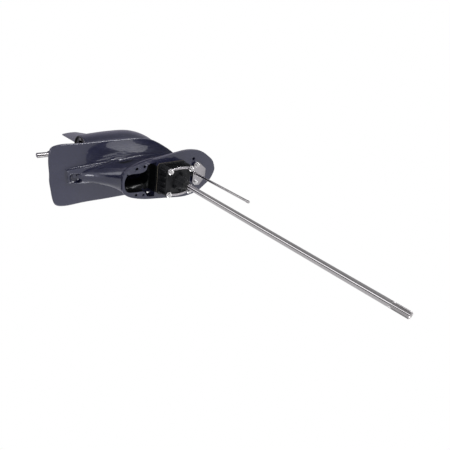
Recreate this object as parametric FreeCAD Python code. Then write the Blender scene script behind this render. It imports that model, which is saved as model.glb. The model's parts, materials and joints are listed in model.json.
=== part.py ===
import FreeCAD, Part
import math
import os

# Outboard lower unit, in millimetres.
# The origin is where the drive shaft's axis meets the deck, which is the face that bolts to the leg above.
# +X points forward, +Y to port and +Z up the drive shaft.

vec = FreeCAD.Vector
X_AXIS = vec(1, 0, 0)
Y_AXIS = vec(0, 1, 0)
Z_AXIS = vec(0, 0, 1)
FULL_TURN = 360.0

# Clearances
running_gap = 0.05
free_gap = 0.3
bolt_gap = 0.4
cut_over = 2.0

# Deck: half widths of its outline, from the aft tip to the nose
deck_outline = [
    (-175, 0), (-174.3, 14), (-171, 27), (-161, 38), (-138, 49.5), (-96, 61), (-55, 67), (-10, 73),
    (25, 78), (53, 81), (87, 79.5), (124, 70), (150, 54), (175, 34), (187, 12), (190, 0),
]
deck_half_width = max(y for _, y in deck_outline)
deck_thickness = 13.0
deck_edge_round = 3.0
deck_seat_depth = 0.3
deck_seat_margin = 1.5

# Leg sections under the deck: height, rear, front, half width, share of foil form
neck_levels = [
    (-1, -174, 166, 79.5, 0.0),
    (-20, -170, 154, 72, 0.15),
    (-50, -159, 136, 56, 0.55),
    (-85, -157, 123, 42, 0.9),
    (-108, -162, 118, 38, 1.0),
    (-119, -166, 118, 40.5, 1.0),
]
strut_levels = [
    (-116, -160, 117, 40, 1.0),
    (-132, -150, 113, 35.5, 1.0),
    (-200, -146, 110, 33, 1.0),
    (-262, -143, 110, 31, 1.0),
    (-300, -140, 114, 33, 1.0),
]
foil_power = 2.3

# Anti-ventilation plate
plate_top = -114.0
plate_thickness = 7.0
plate_edge_round = 2.6
plate_outline = [
    (-332, 0), (-331, 36), (-327.5, 70), (-321, 85), (-307, 91.2), (-258, 92.6), (-175, 94), (-105, 95),
    (-58, 95), (-30, 92.5), (-2, 86), (30, 71.5), (62, 53), (90, 33.5), (111, 10), (114, 0),
]

# Fairing on the plate behind the neck: station, half width, shoulder height, crest height
fairing_stations = [
    (-286, 20, 8.0, 8.5),
    (-262, 22.5, 11.0, 12.5),
    (-226, 25.5, 13.0, 19.5),
    (-178, 29.5, 16.0, 23.0),
    (-150, 32, 30.0, 44.0),
    (-128, 34, 55.0, 75.0),
]
fairing_edge = 3.0
fairing_end_corner = 11.0
tab_bolt_x = -264.0
pocket_y = -6.0
pocket_length = 30.0
pocket_width = 28.0
pocket_corner = 7.0
pocket_floor = plate_top - 2.0
fairing_flare = 2.6

# Torpedo and skeg
propeller_axis_z = -308.0
torpedo_radius = 64.5
torpedo_rear_radius = 54.5
torpedo_rear = -155.6
torpedo_widest_x = 0.0
torpedo_nose = 155.0
torpedo_nose_power = 2.0
torpedo_nose_round = 1.07
torpedo_lip = 2.0
skeg_root_z = -335.0
skeg_side = [(-126, -335), (-137, -513), (-74, -528), (-52, -508), (96, -335)]
skeg_root_half = 8.0
skeg_tip_half = 3.2
skeg_edge_half = 0.9
skeg_corner = 7.0

# Bores along the propeller axis
annulus_radius = 49.0
annulus_front = -95.0
chamber_radius = 46.0
chamber_front = 36.0
shift_chamber_radius = 25.0
shift_chamber_front = 113.0

# Bores along the drive shaft
seal_housing_flange_radius = 30.0
seal_housing_flange = 6.0
seal_housing_radius = 26.0
seal_housing_bottom = -40.0
seal_housing_bore = 18.0
seal_shelf_z = -22.0
seal_shelf_thickness = 8.0
seal_shelf_radius = 14.5
upper_bearing_gap = 4.0
upper_bearing_radius = 26.0
upper_bearing_bottom = -60.0
shaft_passage_radius = 14.0
lower_bearing_top = -238.0
lower_bearing_length = 24.0
lower_bearing_radius = 16.0
pinion_well_radius = 27.0

# Exhaust way: outline on the deck, port then starboard, and the passage down to the annulus
cavity_outline = [
    (-62, 56), (-81, 53), (-91, 49), (-95, 37), (-112, 28), (-137, 28), (-160, 23), (-167, 10),
    (-167, -10), (-160, -25), (-143, -31), (-114, -33), (-97, -38), (-90, -51), (-78, -56), (-62, -57),
]
cavity_depth = 34.0
passage_levels = [
    (-20, -158, -64, 27), (-70, -144, -66, 22), (-120, -130, -66,
                                                 18), (-200, -124, -72, 15), (-275, -124, -97, 13),
]

# Drive shaft
shaft_radius = 8.5
shaft_top = 770.0
shaft_spline_length = 45.0
shaft_spline_teeth = 14
shaft_spline_depth = 1.3
shaft_journal_radius = 10.0
shaft_end_chamfer = 2.5

# Gears
module_outer = 3.5
pinion_teeth = 13
gear_teeth = 24
pressure_angle = 20.0
addendum_shift = 0.3
tooth_clearance = 0.25
flank_backlash = 0.12
face_width = 14.0
pinion_bore = 8.0
pinion_face = 28.0
pinion_face_radius = 13.0
pinion_back = 45.5
pinion_back_radius = 17.5
gear_back = 34.0
gear_rim_radius = 37.0
gear_hub_radius = 20.0
bearing_shoulder_gap = 2.3
pinion_thread_radius = 6.5
pinion_nut_radius = 9.0
pinion_nut_height = 7.0

# Propeller shaft
propeller_shaft_radius = 11.0
propeller_shaft_front = 66.0
propeller_shaft_tip = -298.0
propeller_spline_rear = -262.0
propeller_spline_front = -176.0
propeller_spline_teeth = 13
propeller_spline_depth = 1.4
propeller_thread_radius = 8.0
propeller_seal_radius = 13.0
propeller_collar_radius = 14.0
propeller_collar_front = -54.0
propeller_collar_length = 12.0
cotter_hole_radius = 1.8
cotter_hole_from_tip = 9.0
thrust_washer_thickness = 1.6
bush_radius = 12.6
bush_rear = 24.0
bush_length = 30.0

# Clutch and shift
dog_radius = 16.5
dog_bore = 11.6
dog_height = 3.8
dog_count = 3
dog_share = 0.4
gear_face_x = 16.0
clutch_half = 4.2
clutch_spring_depth = 1.5
clutch_spring_width = 3.0
slider_radius = 4.0
slider_rear = -12.0
cross_pin_radius = 2.2
pin_fit = 0.02
shift_travel = 4.0
shift_rod_x = 94.0
shift_rod_radius = 4.0
shift_rod_top = 257.0
shift_tip_length = 12.0
shift_tip_swell = 0.4
shift_tip_groove_count = 12
crank_throw = 14.0
crank_pin_radius = 3.0
crank_wall = 1.5
crank_boss_radius = 9.0
spool_radius = 20.0
spool_flange = 4.0
spool_neck = 7.0
cam_bottom = 21.5
cam_thickness = 6.0

# Gear bearings
bearing_bore = 17.0
bearing_outer = 36.0
forward_bearing_rear = 38.0
forward_bearing_length = 20.0
reverse_bearing_front = -36.0
reverse_bearing_length = 15.0
ball_radius = 4.5
ball_count = 9
roller_radius = 2.6
roller_count = 14
roller_lean = 1.6
track_gap = 0.08
groove_shoulder = 2.6

# Bearing carrier
carrier_clear = 0.05
carrier_seat_front = -36.2
carrier_seat_rear = -62.0
seat_cone_length = 22.0
carrier_bore = 14.0
carrier_inner_bore = 19.0
carrier_seal_bore = 17.0
carrier_tube_radius = 22.0
carrier_rear = -152.0
carrier_ring_inner = 37.0
carrier_ring_length = 7.0
carrier_rib = 5.0
carrier_bolt_radius = 3.0
carrier_bolt_circle = 42.5
carrier_bolt_length = 22.0
carrier_lug_width = 15.0
carrier_lug_depth = 5.0
carrier_lug_front = -112.0
carrier_bolt_head = 4.5
needle_bearing_length = 22.0

# Seals: rings, and the grooves of the O-rings
seal_lip_gap = 0.08
oring_squeeze = 0.1
oring_room = 0.2
carrier_oring_depth = 2.9
carrier_oring_width = 2.8
housing_oring_depth = 2.3
housing_oring_width = 2.6
housing_oring_z = -27.8

# Water pump
pump_bolt_x = 40.0
pump_bolt_y = 38.0
pump_bolt_radius = 4.0
bolt_head = 6.5
pump_rear = -56.0
pump_front = 48.0
pump_half_width = 50.0
pump_top = 42.0
pump_corner = 9.0
pump_flange_height = 9.0
gasket_thickness = 0.8
wear_plate_thickness = 1.6
wear_plate_margin = -0.6
pump_base = gasket_thickness + wear_plate_thickness
pump_box_inset = 5.0
pump_post_radius = 9.5
pump_rib_width = 4.0
pump_rib_pitch = 18.0
tower_bury = 4.0
fin_count = 6
fin_start = 30.0
fin_thickness = 3.0
fin_rise = 16.0
outlet_wall = 5.0
cup_radius = 31.0
cup_wall = 1.4
cup_offset = 2.0
cup_top = 26.0
impeller_radius = 26.6
impeller_hub = 13.0
vane_count = 6
vane_thickness = 3.4
vane_lean = 24.0
key_width = 4.0
key_height = 2.4
key_length = 14.0
dowel_radius = 2.5
dowel_x = 20.0
dowel_y = 42.0
dowel_depth = 5.0
tower_base_radius = 27.0
tower_top_radius = 15.0
tower_top = 74.0
tower_foot_rise = 6.0
tower_shoulder_rise = 20.0
boot_top = 89.0
bar_thickness = 3.0
bar_width = 8.0
bar_eye_radius = 9.0
bar_bow = 6.0
washer_radius = 8.2
washer_thickness = 1.4
water_tube_x = 27.0
water_tube_y = -20.0
water_tube_radius = 6.0
grommet_wall = 2.0
grommet_foot = 52.0
grommet_length = 13.0

# Shift rod bracket
bracket_outline = [
    (91, 39.5), (109, 35), (139, 12), (140, -15), (129, -32), (116, -45), (99, -43), (85, -31), (85, 32),
]
bracket_top = 8.0
bracket_thickness = 3.0
bracket_bolt_x = 98.0
bracket_bolt_y = 31.0
bracket_bolt_radius = 4.0
bracket_pad_radius = 9.0
bracket_corner = 4.0
shift_seal_radius = 15.0

# Deck holes: place and radius
deck_bolt_holes = [(-128, 42), (-102, 46)]
deck_bolt_hole_radius = 4.25
deck_bolt_hole_depth = 28.0
deck_small_hole = (-158, 27)
deck_small_hole_radius = 2.5
deck_small_hole_depth = 16.0
deck_front_hole = (86, 50)
deck_front_hole_radius = 5.5
deck_front_hole_depth = 40.0
pump_bolt_hole_depth = 26.0
bracket_bolt_hole_depth = 20.0

# Water intake
intake_rear = 18.0
intake_front = 74.0
intake_top = -160.0
intake_bottom = -214.0
screen_y = 27.5
screen_thickness = 2.5
screen_margin = 5.0
screen_slots = 7
screen_slot_margin = 9.0
screen_edge_gap = 0.3
screen_screw_radius = 2.0
screen_screw_inset = 4.0
screen_screw_z = (intake_top + intake_bottom) / 2
water_bore_x = 47.0
water_bore_radius = 5.0

# Plugs on the starboard side, and the trim tab
plug_radius = 5.0
plug_head_radius = 8.0
plug_head = 4.0
plug_x = 62.0
drain_plug_z = -338.0
drain_plug_depth = 36.5
level_plug_z = -240.0
level_plug_depth = 26.0
plug_length = 12.0
plug_slot_width = 2.4
plug_slot_depth = 1.8
plug_gasket = 1.0
tab_disc_radius = 21.0
tab_disc = 8.0
tab_rear = -324.0
tab_front = -236.0
tab_bottom = -166.0
tab_half = 5.0
tab_edge_half = 0.8
tab_rake = 15.0
tab_bolt_radius = 4.0
tab_bolt_grip = 16.0


def cylinder(radius, length, base, axis=Z_AXIS):
    return Part.makeCylinder(radius, length, base, axis)


def tube(outer, inner, length, base, axis=Z_AXIS):
    """A plain ring or sleeve."""
    return cylinder(outer, length, base, axis).cut(cylinder(inner, length, base, axis))


def turned_up(profile, x=0.0, y=0.0):
    """A solid turned about a vertical axis, from (height, radius) pairs."""
    points = [vec(x + radius, y, z) for z, radius in profile]
    face = Part.Face(Part.makePolygon(points + points[:1]))
    return Part.Solid(face.revolve(vec(x, y, 0), Z_AXIS, FULL_TURN))


def turned_along(profile):
    """A solid turned about the propeller axis, from (x, radius) pairs."""
    points = [vec(x, 0, propeller_axis_z + radius) for x, radius in profile]
    face = Part.Face(Part.makePolygon(points + points[:1]))
    return Part.Solid(face.revolve(vec(0, 0, propeller_axis_z), X_AXIS, FULL_TURN))


def on_propeller_axis(x):
    return vec(x, 0, propeller_axis_z)


def slab(points, bottom, height):
    """A flat piece with straight sides, from (x, y) corners."""
    corners = [vec(x, y, bottom) for x, y in points]
    return Part.Face(Part.makePolygon(corners + corners[:1])).extrude(vec(0, 0, height))


def rounded_slab(rear, front, half_width, corner, bottom, height):
    """A flat block with round upright corners."""
    block = Part.makeBox(front - rear, 2 * half_width, height, vec(rear, -half_width, bottom))
    uprights = [e for e in block.Edges if abs(e.tangentAt(e.FirstParameter).z) > 0.9]
    return block.makeFillet(corner, uprights)


def spaced(count, first=0.0):
    """Angles in degrees, evenly spaced round a full turn."""
    return [first + FULL_TURN * i / count for i in range(count)]


def around_z(shape, angle, x=0.0, y=0.0):
    turned = shape.copy()
    turned.rotate(vec(x, y, 0), Z_AXIS, angle)
    return turned


def around_propeller_axis(shape, angle):
    turned = shape.copy()
    turned.rotate(on_propeller_axis(0), X_AXIS, angle)
    return turned


def hexagon(across_corners, height, base, axis=Z_AXIS):
    corners = [
        vec(across_corners * math.cos(math.radians(a)), across_corners * math.sin(math.radians(a)), 0)
        for a in spaced(6)
    ]
    prism = Part.Face(Part.makePolygon(corners + corners[:1])).extrude(vec(0, 0, height))
    prism.Placement = FreeCAD.Placement(base, FreeCAD.Rotation(Z_AXIS, axis))
    return prism


def hex_bolt(radius, length, head_height, seat, up=Z_AXIS):
    """A hexagon-head bolt whose head sits on the seat point and whose shank runs the other way."""
    shank_base = seat - up * length
    shank = cylinder(radius, length, shank_base, up)
    collar = cylinder(radius * 2.0, head_height * 0.25, seat, up)
    head = hexagon(radius * 1.75, head_height * 0.75, seat + up * (head_height * 0.25), up)
    return shank.fuse([collar, head]).removeSplitter()


def mirrored(port):
    """Port stations from the aft to the front end of the centre line, then the starboard ones back."""
    return port + [(x, -y) for x, y in reversed(port[1:-1])]


def steps_along(stations):
    """How far round a closed outline each of its stations lies."""
    steps = [0.0]
    for (ax, ay), (bx, by) in zip(stations, stations[1:] + stations[:1]):
        steps.append(steps[-1] + math.hypot(bx - ax, by - ay))
    return steps


def closed_outline(port, z, reference):
    """A smooth closed wire through port stations and their mirror image, paced like the reference."""
    points = [vec(x, y, z) for x, y in mirrored(port)]
    curve = Part.BSplineCurve()
    curve.interpolate(Points=points, PeriodicFlag=True, Parameters=steps_along(mirrored(reference)))
    return Part.Wire(curve.toShape())


def leg_section(level):
    """One closed horizontal outline of the leg, between the deck's form and a rounded foil."""
    z, rear, front, half_width, foil = level
    deck_rear, deck_length = deck_outline[0][0], deck_outline[-1][0] - deck_outline[0][0]
    steps = steps_along(mirrored(deck_outline))
    half_round = steps[len(deck_outline) - 1]
    middle, reach = (rear + front) / 2, (front - rear) / 2
    port = []
    for index, (x, y) in enumerate(deck_outline):
        angle = math.pi * steps[index] / half_round
        along = -math.copysign(abs(math.cos(angle)) ** (2 / foil_power), math.cos(angle))
        across = abs(math.sin(angle)) ** (2 / foil_power)
        deck_x = rear + (x - deck_rear) / deck_length * (front - rear)
        deck_y = half_width * y / deck_half_width
        port.append((
            (1 - foil) * deck_x + foil * (middle + along * reach),
            (1 - foil) * deck_y + foil * half_width * across,
        ))
    port[0] = (rear, 0)
    port[-1] = (front, 0)
    return closed_outline(port, z, deck_outline)


def rounded_sheet(port, top, thickness, rim, rounded_top):
    """A flat piece with a smooth outline, its lower rim rounded and its upper one too if asked."""
    sheet = Part.Face(closed_outline(port, top - thickness, port)).extrude(vec(0, 0, thickness))
    flat_edges = [e for e in sheet.Edges if e.BoundBox.ZLength < 0.01]
    edges = [e for e in flat_edges if rounded_top or e.BoundBox.ZMax < top - thickness / 2]
    return sheet.makeFillet(rim, edges)


def make_fairing():
    """The low body on the plate that carries the neck's lines aft to the bolt recess."""
    sections = []
    buried = plate_top - plate_thickness * 0.6
    pace = None
    for x, half, shoulder, crest in fairing_stations:
        rise = crest - shoulder
        port = [
            (0, crest),
            (half * 0.4, shoulder + rise * 0.75),
            (half - 2.2 * fairing_edge, shoulder + rise * 0.15),
            (half - fairing_edge * 0.8, shoulder - fairing_edge * 0.15),
            (half, shoulder - fairing_edge),
            (half, fairing_flare + (shoulder - fairing_edge - fairing_flare) / 2),
            (half, fairing_flare),
            (half + fairing_flare * 0.3, fairing_flare * 0.3),
            (half + fairing_flare, 0),
        ]
        port = [(y, plate_top + z) for y, z in port]
        port += [(half + fairing_flare, buried), (half * 0.5, buried), (0, buried)]
        pace = pace or steps_along(mirrored([(z, y) for y, z in port]))
        points = [vec(x, y, z) for y, z in port] + [vec(x, -y, z) for y, z in reversed(port[1:-1])]
        curve = Part.BSplineCurve()
        curve.interpolate(Points=points, PeriodicFlag=True, Parameters=pace)
        sections.append(Part.Wire(curve.toShape()))
    rear, front = fairing_stations[0][0], fairing_stations[-1][0]
    rear_half, front_half = fairing_stations[0][1] + 2 * fairing_flare, fairing_stations[-1][1] * 2
    corners = [(rear, rear_half), (front, front_half), (front, -front_half), (rear, -rear_half)]
    plan = slab(corners, plate_top - plate_thickness, 100)
    uprights = [e for e in plan.Edges if e.BoundBox.ZLength > 1 and e.BoundBox.XMax < rear + 1]
    return Part.makeLoft(sections, True, False).common(plan.makeFillet(fairing_end_corner, uprights))


def torpedo_reach(x):
    """The torpedo's radius at a station: a slow swelling to its widest, then a bullet's nose."""
    if x <= torpedo_widest_x:
        share = (x - torpedo_rear) / (torpedo_widest_x - torpedo_rear)
        return torpedo_rear_radius + (torpedo_radius - torpedo_rear_radius) * math.sin(share * math.pi / 2)
    share = (x - torpedo_widest_x) / (torpedo_nose - torpedo_widest_x)
    return torpedo_radius * (1 - share ** torpedo_nose_power) ** (1 / torpedo_nose_round)


def make_torpedo():
    """The bullet-shaped gear housing, solid before its bores are cut."""
    rear_steps, nose_steps = 5, 11
    lip_front = torpedo_rear + torpedo_lip
    stations = [lip_front + (torpedo_widest_x - lip_front) * i / rear_steps for i in range(rear_steps)]
    nose_length = torpedo_nose - torpedo_widest_x
    stations += [torpedo_widest_x + nose_length * math.sin(math.pi / 2 * i / nose_steps)
                 for i in range(nose_steps)]
    profile = [on_propeller_axis(x) + vec(0, 0, torpedo_reach(x)) for x in stations]
    profile.append(on_propeller_axis(torpedo_nose))
    curve = Part.BSplineCurve()
    curve.interpolate(profile)
    foot = on_propeller_axis(torpedo_rear)
    lip = foot + vec(0, 0, torpedo_rear_radius - torpedo_lip)
    outline = Part.makePolygon([profile[-1], foot, lip, profile[0]]).Edges
    outline.append(curve.toShape())
    face = Part.Face(Part.Wire(Part.__sortEdges__(outline)))
    return Part.Solid(face.revolve(on_propeller_axis(0), X_AXIS, FULL_TURN))


def make_skeg():
    """A fin that thins towards its foot, with a sharp-ish leading and trailing edge."""
    corners = [vec(x, 0, z) for x, z in skeg_side]
    face = Part.Face(Part.makePolygon(corners + corners[:1]))
    side = face.extrude(vec(0, 2 * skeg_root_half + cut_over, 0))
    side.translate(vec(0, -skeg_root_half - cut_over / 2, 0))
    foot_z = min(z for _, z in skeg_side)
    half_way = (skeg_root_z + foot_z) / 2
    across = [e for e in side.Edges if e.BoundBox.YLength > skeg_root_half and e.BoundBox.ZMax < half_way]
    side = side.makeFillet(skeg_corner, across)
    edge = skeg_edge_half
    sections = []
    for z, rear, front, half in (
        (skeg_root_z, skeg_side[0][0] - cut_over / 2, skeg_side[-1][0] + cut_over / 2, skeg_root_half),
        (foot_z, skeg_side[1][0] - cut_over, skeg_side[2][0] + 3 * cut_over, skeg_tip_half),
    ):
        middle = (rear + front) / 2
        port = Part.Arc(vec(rear, edge, z), vec(middle, half, z), vec(front, edge, z)).toShape()
        starboard = Part.Arc(vec(front, -edge, z), vec(middle, -half, z), vec(rear, -edge, z)).toShape()
        front_cap = Part.makeLine(vec(front, edge, z), vec(front, -edge, z))
        rear_cap = Part.makeLine(vec(rear, -edge, z), vec(rear, edge, z))
        sections.append(Part.Wire([port, front_cap, starboard, rear_cap]))
    return side.common(Part.makeLoft(sections, True, True))


def make_exhaust_way():
    """The hollow from the deck down through the leg to the open rear of the torpedo."""
    points = [vec(x, y, cut_over) for x, y in cavity_outline]
    curve = Part.BSplineCurve()
    curve.interpolate(points)
    mouth_edge = Part.makeLine(points[-1], points[0])
    mouth = Part.Face(Part.Wire([curve.toShape(), mouth_edge])).extrude(vec(0, 0, -cavity_depth - cut_over))
    sections = []
    for z, rear, front, half in passage_levels:
        block = rounded_slab(rear, front, half, min(half, (front - rear) / 2) * 0.8, z, 1)
        lower_face = min(block.Faces, key=lambda f: f.CenterOfMass.z)
        sections.append(lower_face.OuterWire)
    passage = Part.makeLoft(sections, True, True)
    return mouth.fuse(passage)


def carrier_bolt_seat(side):
    """Where the head of the port (1) or starboard (-1) carrier bolt sits."""
    return vec(carrier_rear, side * carrier_bolt_circle, propeller_axis_z)


def make_axial_bores():
    annulus = cylinder(annulus_radius, annulus_front - torpedo_rear + cut_over,
                       on_propeller_axis(torpedo_rear - cut_over), X_AXIS)
    chamber = cylinder(chamber_radius, chamber_front - annulus_front,
                       on_propeller_axis(annulus_front), X_AXIS)
    bearing = cylinder(bearing_outer, forward_bearing_rear + forward_bearing_length - chamber_front,
                       on_propeller_axis(chamber_front), X_AXIS)
    shift = cylinder(shift_chamber_radius, shift_chamber_front - chamber_front,
                     on_propeller_axis(chamber_front), X_AXIS)
    cam = cylinder(crank_throw + crank_pin_radius + 2.5, cam_bottom + cam_thickness + cut_over,
                   vec(shift_rod_x, 0, propeller_axis_z))
    lug_length = carrier_lug_front - (carrier_rear + carrier_ring_length)
    lug_inner = carrier_bolt_circle - carrier_lug_depth
    lugs = []
    for side in (1, -1):
        low = lug_inner if side > 0 else -annulus_radius - cut_over
        lug = Part.makeBox(lug_length, annulus_radius + cut_over - lug_inner, carrier_lug_width,
                           vec(carrier_rear + carrier_ring_length, low,
                               propeller_axis_z - carrier_lug_width / 2))
        hole = cylinder(carrier_bolt_radius, carrier_bolt_length + cut_over, carrier_bolt_seat(side), X_AXIS)
        lugs.append(lug.cut(hole))
    return annulus.cut(Part.makeCompound(lugs)).fuse([chamber, bearing, shift, cam])


def make_upright_bores():
    """The drive shaft's stepped bore, the shift rod's bore and the water way."""
    shaft_bore = turned_up([
        (cut_over, 0),
        (cut_over, seal_housing_flange_radius + running_gap),
        (-seal_housing_flange, seal_housing_flange_radius + running_gap),
        (-seal_housing_flange, seal_housing_radius + running_gap),
        (seal_housing_bottom, seal_housing_radius + running_gap),
        (seal_housing_bottom, upper_bearing_radius),
        (upper_bearing_bottom, upper_bearing_radius),
        (upper_bearing_bottom, shaft_passage_radius),
        (lower_bearing_top, shaft_passage_radius),
        (lower_bearing_top, lower_bearing_radius),
        (lower_bearing_top - lower_bearing_length, lower_bearing_radius),
        (lower_bearing_top - lower_bearing_length, pinion_well_radius),
        (propeller_axis_z, pinion_well_radius),
        (propeller_axis_z, 0),
    ])
    rod_bore = cylinder(shift_rod_radius + free_gap, -propeller_axis_z + cut_over,
                        vec(shift_rod_x, 0, propeller_axis_z))
    water_bore_foot = intake_top - 2 * screen_margin
    water_bore = cylinder(water_bore_radius, cut_over - water_bore_foot,
                          vec(water_bore_x, 0, water_bore_foot))
    intake = Part.makeBox(intake_front - intake_rear, 2 * deck_half_width, intake_top - intake_bottom,
                          vec(intake_rear, -deck_half_width, intake_bottom))
    upright = [e for e in intake.Edges if e.BoundBox.YLength > deck_half_width]
    seat = intake.makeFillet(screen_margin, upright)
    keep = Part.makeBox(intake_front, 2 * screen_y, -intake_bottom,
                        vec(intake_rear, -screen_y, intake_bottom))
    throat = Part.makeBox(
        intake_front - intake_rear - 2 * screen_margin, 2 * screen_y,
        intake_top - intake_bottom - 2 * screen_margin,
        vec(intake_rear + screen_margin, -screen_y, intake_bottom + screen_margin))
    return shaft_bore.fuse([rod_bore, water_bore, seat.cut(keep), throat])


def make_hole_cutters():
    """The bolt, plug and dowel holes of the casting."""
    cutters = []
    for x, y in deck_bolt_holes:
        for side in (y, -y):
            cutters.append(cylinder(deck_bolt_hole_radius, deck_bolt_hole_depth,
                                    vec(x, side, -deck_bolt_hole_depth)))
    x, y = deck_small_hole
    cutters.append(cylinder(deck_small_hole_radius, deck_small_hole_depth,
                            vec(x, y, -deck_small_hole_depth)))
    x, y = deck_front_hole
    for side in (y, -y):
        cutters.append(cylinder(deck_front_hole_radius, deck_front_hole_depth,
                                vec(x, side, -deck_front_hole_depth)))
    for x, y in pump_bolt_places():
        cutters.append(cylinder(pump_bolt_radius, pump_bolt_hole_depth, vec(x, y, -pump_bolt_hole_depth)))
    for y in (bracket_bolt_y, -bracket_bolt_y):
        cutters.append(cylinder(bracket_bolt_radius, bracket_bolt_hole_depth + bracket_top,
                                vec(bracket_bolt_x, y, -bracket_bolt_hole_depth)))
    for z in (drain_plug_z, level_plug_z):
        seat = plug_seat(z)
        cutters.append(cylinder(plug_head_radius + free_gap, torpedo_radius, seat, Y_AXIS * -1))
        cutters.append(cylinder(plug_radius, -seat.y, seat, Y_AXIS))
    pocket = rounded_slab(tab_bolt_x - pocket_length / 2, tab_bolt_x + pocket_length / 2, pocket_width / 2,
                          pocket_corner, pocket_floor, -pocket_floor)
    pocket.translate(vec(0, pocket_y, 0))
    cutters.append(pocket)
    cutters.append(cylinder(tab_bolt_radius + bolt_gap, 2 * plate_thickness,
                            vec(tab_bolt_x, 0, pocket_floor - 2 * plate_thickness)))
    return cutters


def plug_seat(z):
    """The middle of the flat that a plug's gasket lies on, on the starboard side."""
    depth = drain_plug_depth if z == drain_plug_z else level_plug_depth
    return vec(plug_x, -depth, z)


def make_deck_seats():
    """The shallow machined seats that keep the pump and the bracket off the deck's own face."""
    pump_seat = pump_footprint(deck_seat_margin, -deck_seat_depth, deck_seat_depth + cut_over)
    corners = [vec(x, y, -deck_seat_depth) for x, y in bracket_outline]
    outline = Part.Face(Part.makePolygon(corners + corners[:1])).makeOffset2D(deck_seat_margin)
    bracket_seat = outline.extrude(vec(0, 0, deck_seat_depth + cut_over))
    seal_seat = cylinder(shift_seal_radius + bolt_gap, deck_seat_depth + cut_over,
                         vec(shift_rod_x, 0, -deck_seat_depth))
    return pump_seat.fuse([bracket_seat, seal_seat])


def make_gearcase_housing():
    neck = Part.makeLoft([leg_section(level) for level in neck_levels], True, False)
    strut = Part.makeLoft([leg_section(level) for level in strut_levels], True, False)
    deck = rounded_sheet(deck_outline, 0.0, deck_thickness, deck_edge_round, False)
    plate = rounded_sheet(plate_outline, plate_top, plate_thickness, plate_edge_round, True)
    body = deck.fuse([neck, plate, strut, make_torpedo()])
    body = body.fuse([make_fairing(), make_skeg()])
    body = body.cut(make_deck_seats())
    pads = [cylinder(bracket_pad_radius, bracket_top - bracket_thickness + deck_seat_depth,
                     vec(bracket_bolt_x, y, -deck_seat_depth))
            for y in (bracket_bolt_y, -bracket_bolt_y)]
    body = body.fuse(pads)
    body = body.cut(make_exhaust_way())
    body = body.cut(make_axial_bores())
    body = body.cut(make_upright_bores())
    return body.cut(Part.makeCompound(make_hole_cutters()))


def flat_sided(start, end):
    """A solid between two like polygons, with one flat face for each side."""
    faces = [Part.Face(Part.makePolygon(ring + ring[:1])) for ring in (start, end)]
    for a, b, c, d in zip(start, start[1:] + start[:1], end[1:] + end[:1], end):
        faces.append(Part.Face(Part.makePolygon([a, b, c, d, a])))
    return Part.Solid(Part.Shell(faces))


def involute(angle):
    return math.tan(angle) - angle


def bevel_gear(teeth, mate_teeth, shift, front, hub, bore, first_angle):
    """A straight bevel gear about +Z with its cone's point at the origin.

    The teeth are involutes on the back cone, drawn towards the cone's point.
    Front and hub are the turned profile before and after the teeth.
    """
    pitch_radius = module_outer * teeth / 2
    cone = math.atan2(teeth, mate_teeth)
    reach = pitch_radius / math.sin(cone)
    rolled = pitch_radius / math.cos(cone)
    rolled_teeth = teeth / math.cos(cone)
    pressure = math.radians(pressure_angle)
    base = rolled * math.cos(pressure)
    tip = rolled + module_outer * (1 + shift)
    root = rolled - module_outer * (1 + tooth_clearance - shift)
    back_apex = reach / math.cos(cone)
    half_pitch = math.pi / 2 / rolled_teeth + 2 * shift * math.tan(pressure) / rolled_teeth
    half_pitch -= flank_backlash / rolled

    def flank_angle(radius):
        slope = math.acos(base / radius) if radius > base else 0.0
        return half_pitch + involute(pressure) - involute(slope)

    def on_back_cone(radius, angle, scale):
        down = radius * math.cos(angle)
        return vec(down * math.cos(cone), radius * math.sin(angle),
                   back_apex - down * math.sin(cone)) * scale

    start = max(base, root)
    flank_steps = 3
    bury = module_outer / 9
    radii = [root - bury] + [start + (tip - start) * i / flank_steps for i in range(flank_steps + 1)]
    flank = [(radius, flank_angle(radius)) for radius in radii]
    outline = [(radius, -angle) for radius,
               angle in flank] + [(radius, angle) for radius, angle in reversed(flank)]
    toe = (reach - face_width) / reach
    ends = [[on_back_cone(radius, angle, scale) for radius, angle in outline] for scale in (toe, 1.0)]
    tooth = flat_sided(*ends)
    root_out, root_up = root * math.cos(cone), back_apex - root * math.sin(cone)
    blank = turned_up(front + [(root_up * toe, root_out * toe), (root_up, root_out)] + hub)
    ring = [around_z(tooth, first_angle + FULL_TURN * i / teeth) for i in range(teeth)]
    gear = blank.fuse(ring)
    return gear.cut(cylinder(bore, 4 * reach, vec(0, 0, -reach)))


def make_pinion():
    front = [(pinion_face, 0), (pinion_face, pinion_face_radius)]
    hub = [(pinion_back, pinion_back_radius), (pinion_back, 0)]
    pinion = bevel_gear(pinion_teeth, gear_teeth, addendum_shift, front, hub, pinion_bore, 0.0)
    pinion.translate(on_propeller_axis(0))
    return pinion


def dog_ring(tip_x, root_x, first_angle):
    """The square dogs of a gear or of the clutch, between two stations on the propeller axis."""
    low, high = sorted((tip_x, root_x))
    ring = tube(dog_radius, dog_bore, high - low, on_propeller_axis(low), X_AXIS)
    angle = FULL_TURN / dog_count * dog_share
    dogs = []
    for turn in spaced(dog_count, first_angle - angle / 2):
        side = 3 * dog_radius
        corners = [vec(low, 0, propeller_axis_z)]
        for step in (0.0, 0.5, 1.0):
            a = math.radians(turn + step * angle)
            corners.append(vec(low, side * math.sin(a), propeller_axis_z + side * math.cos(a)))
        wedge = Part.Face(Part.makePolygon(corners + corners[:1])).extrude(vec(high - low, 0, 0))
        dogs.append(ring.common(wedge))
    return dogs


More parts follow.
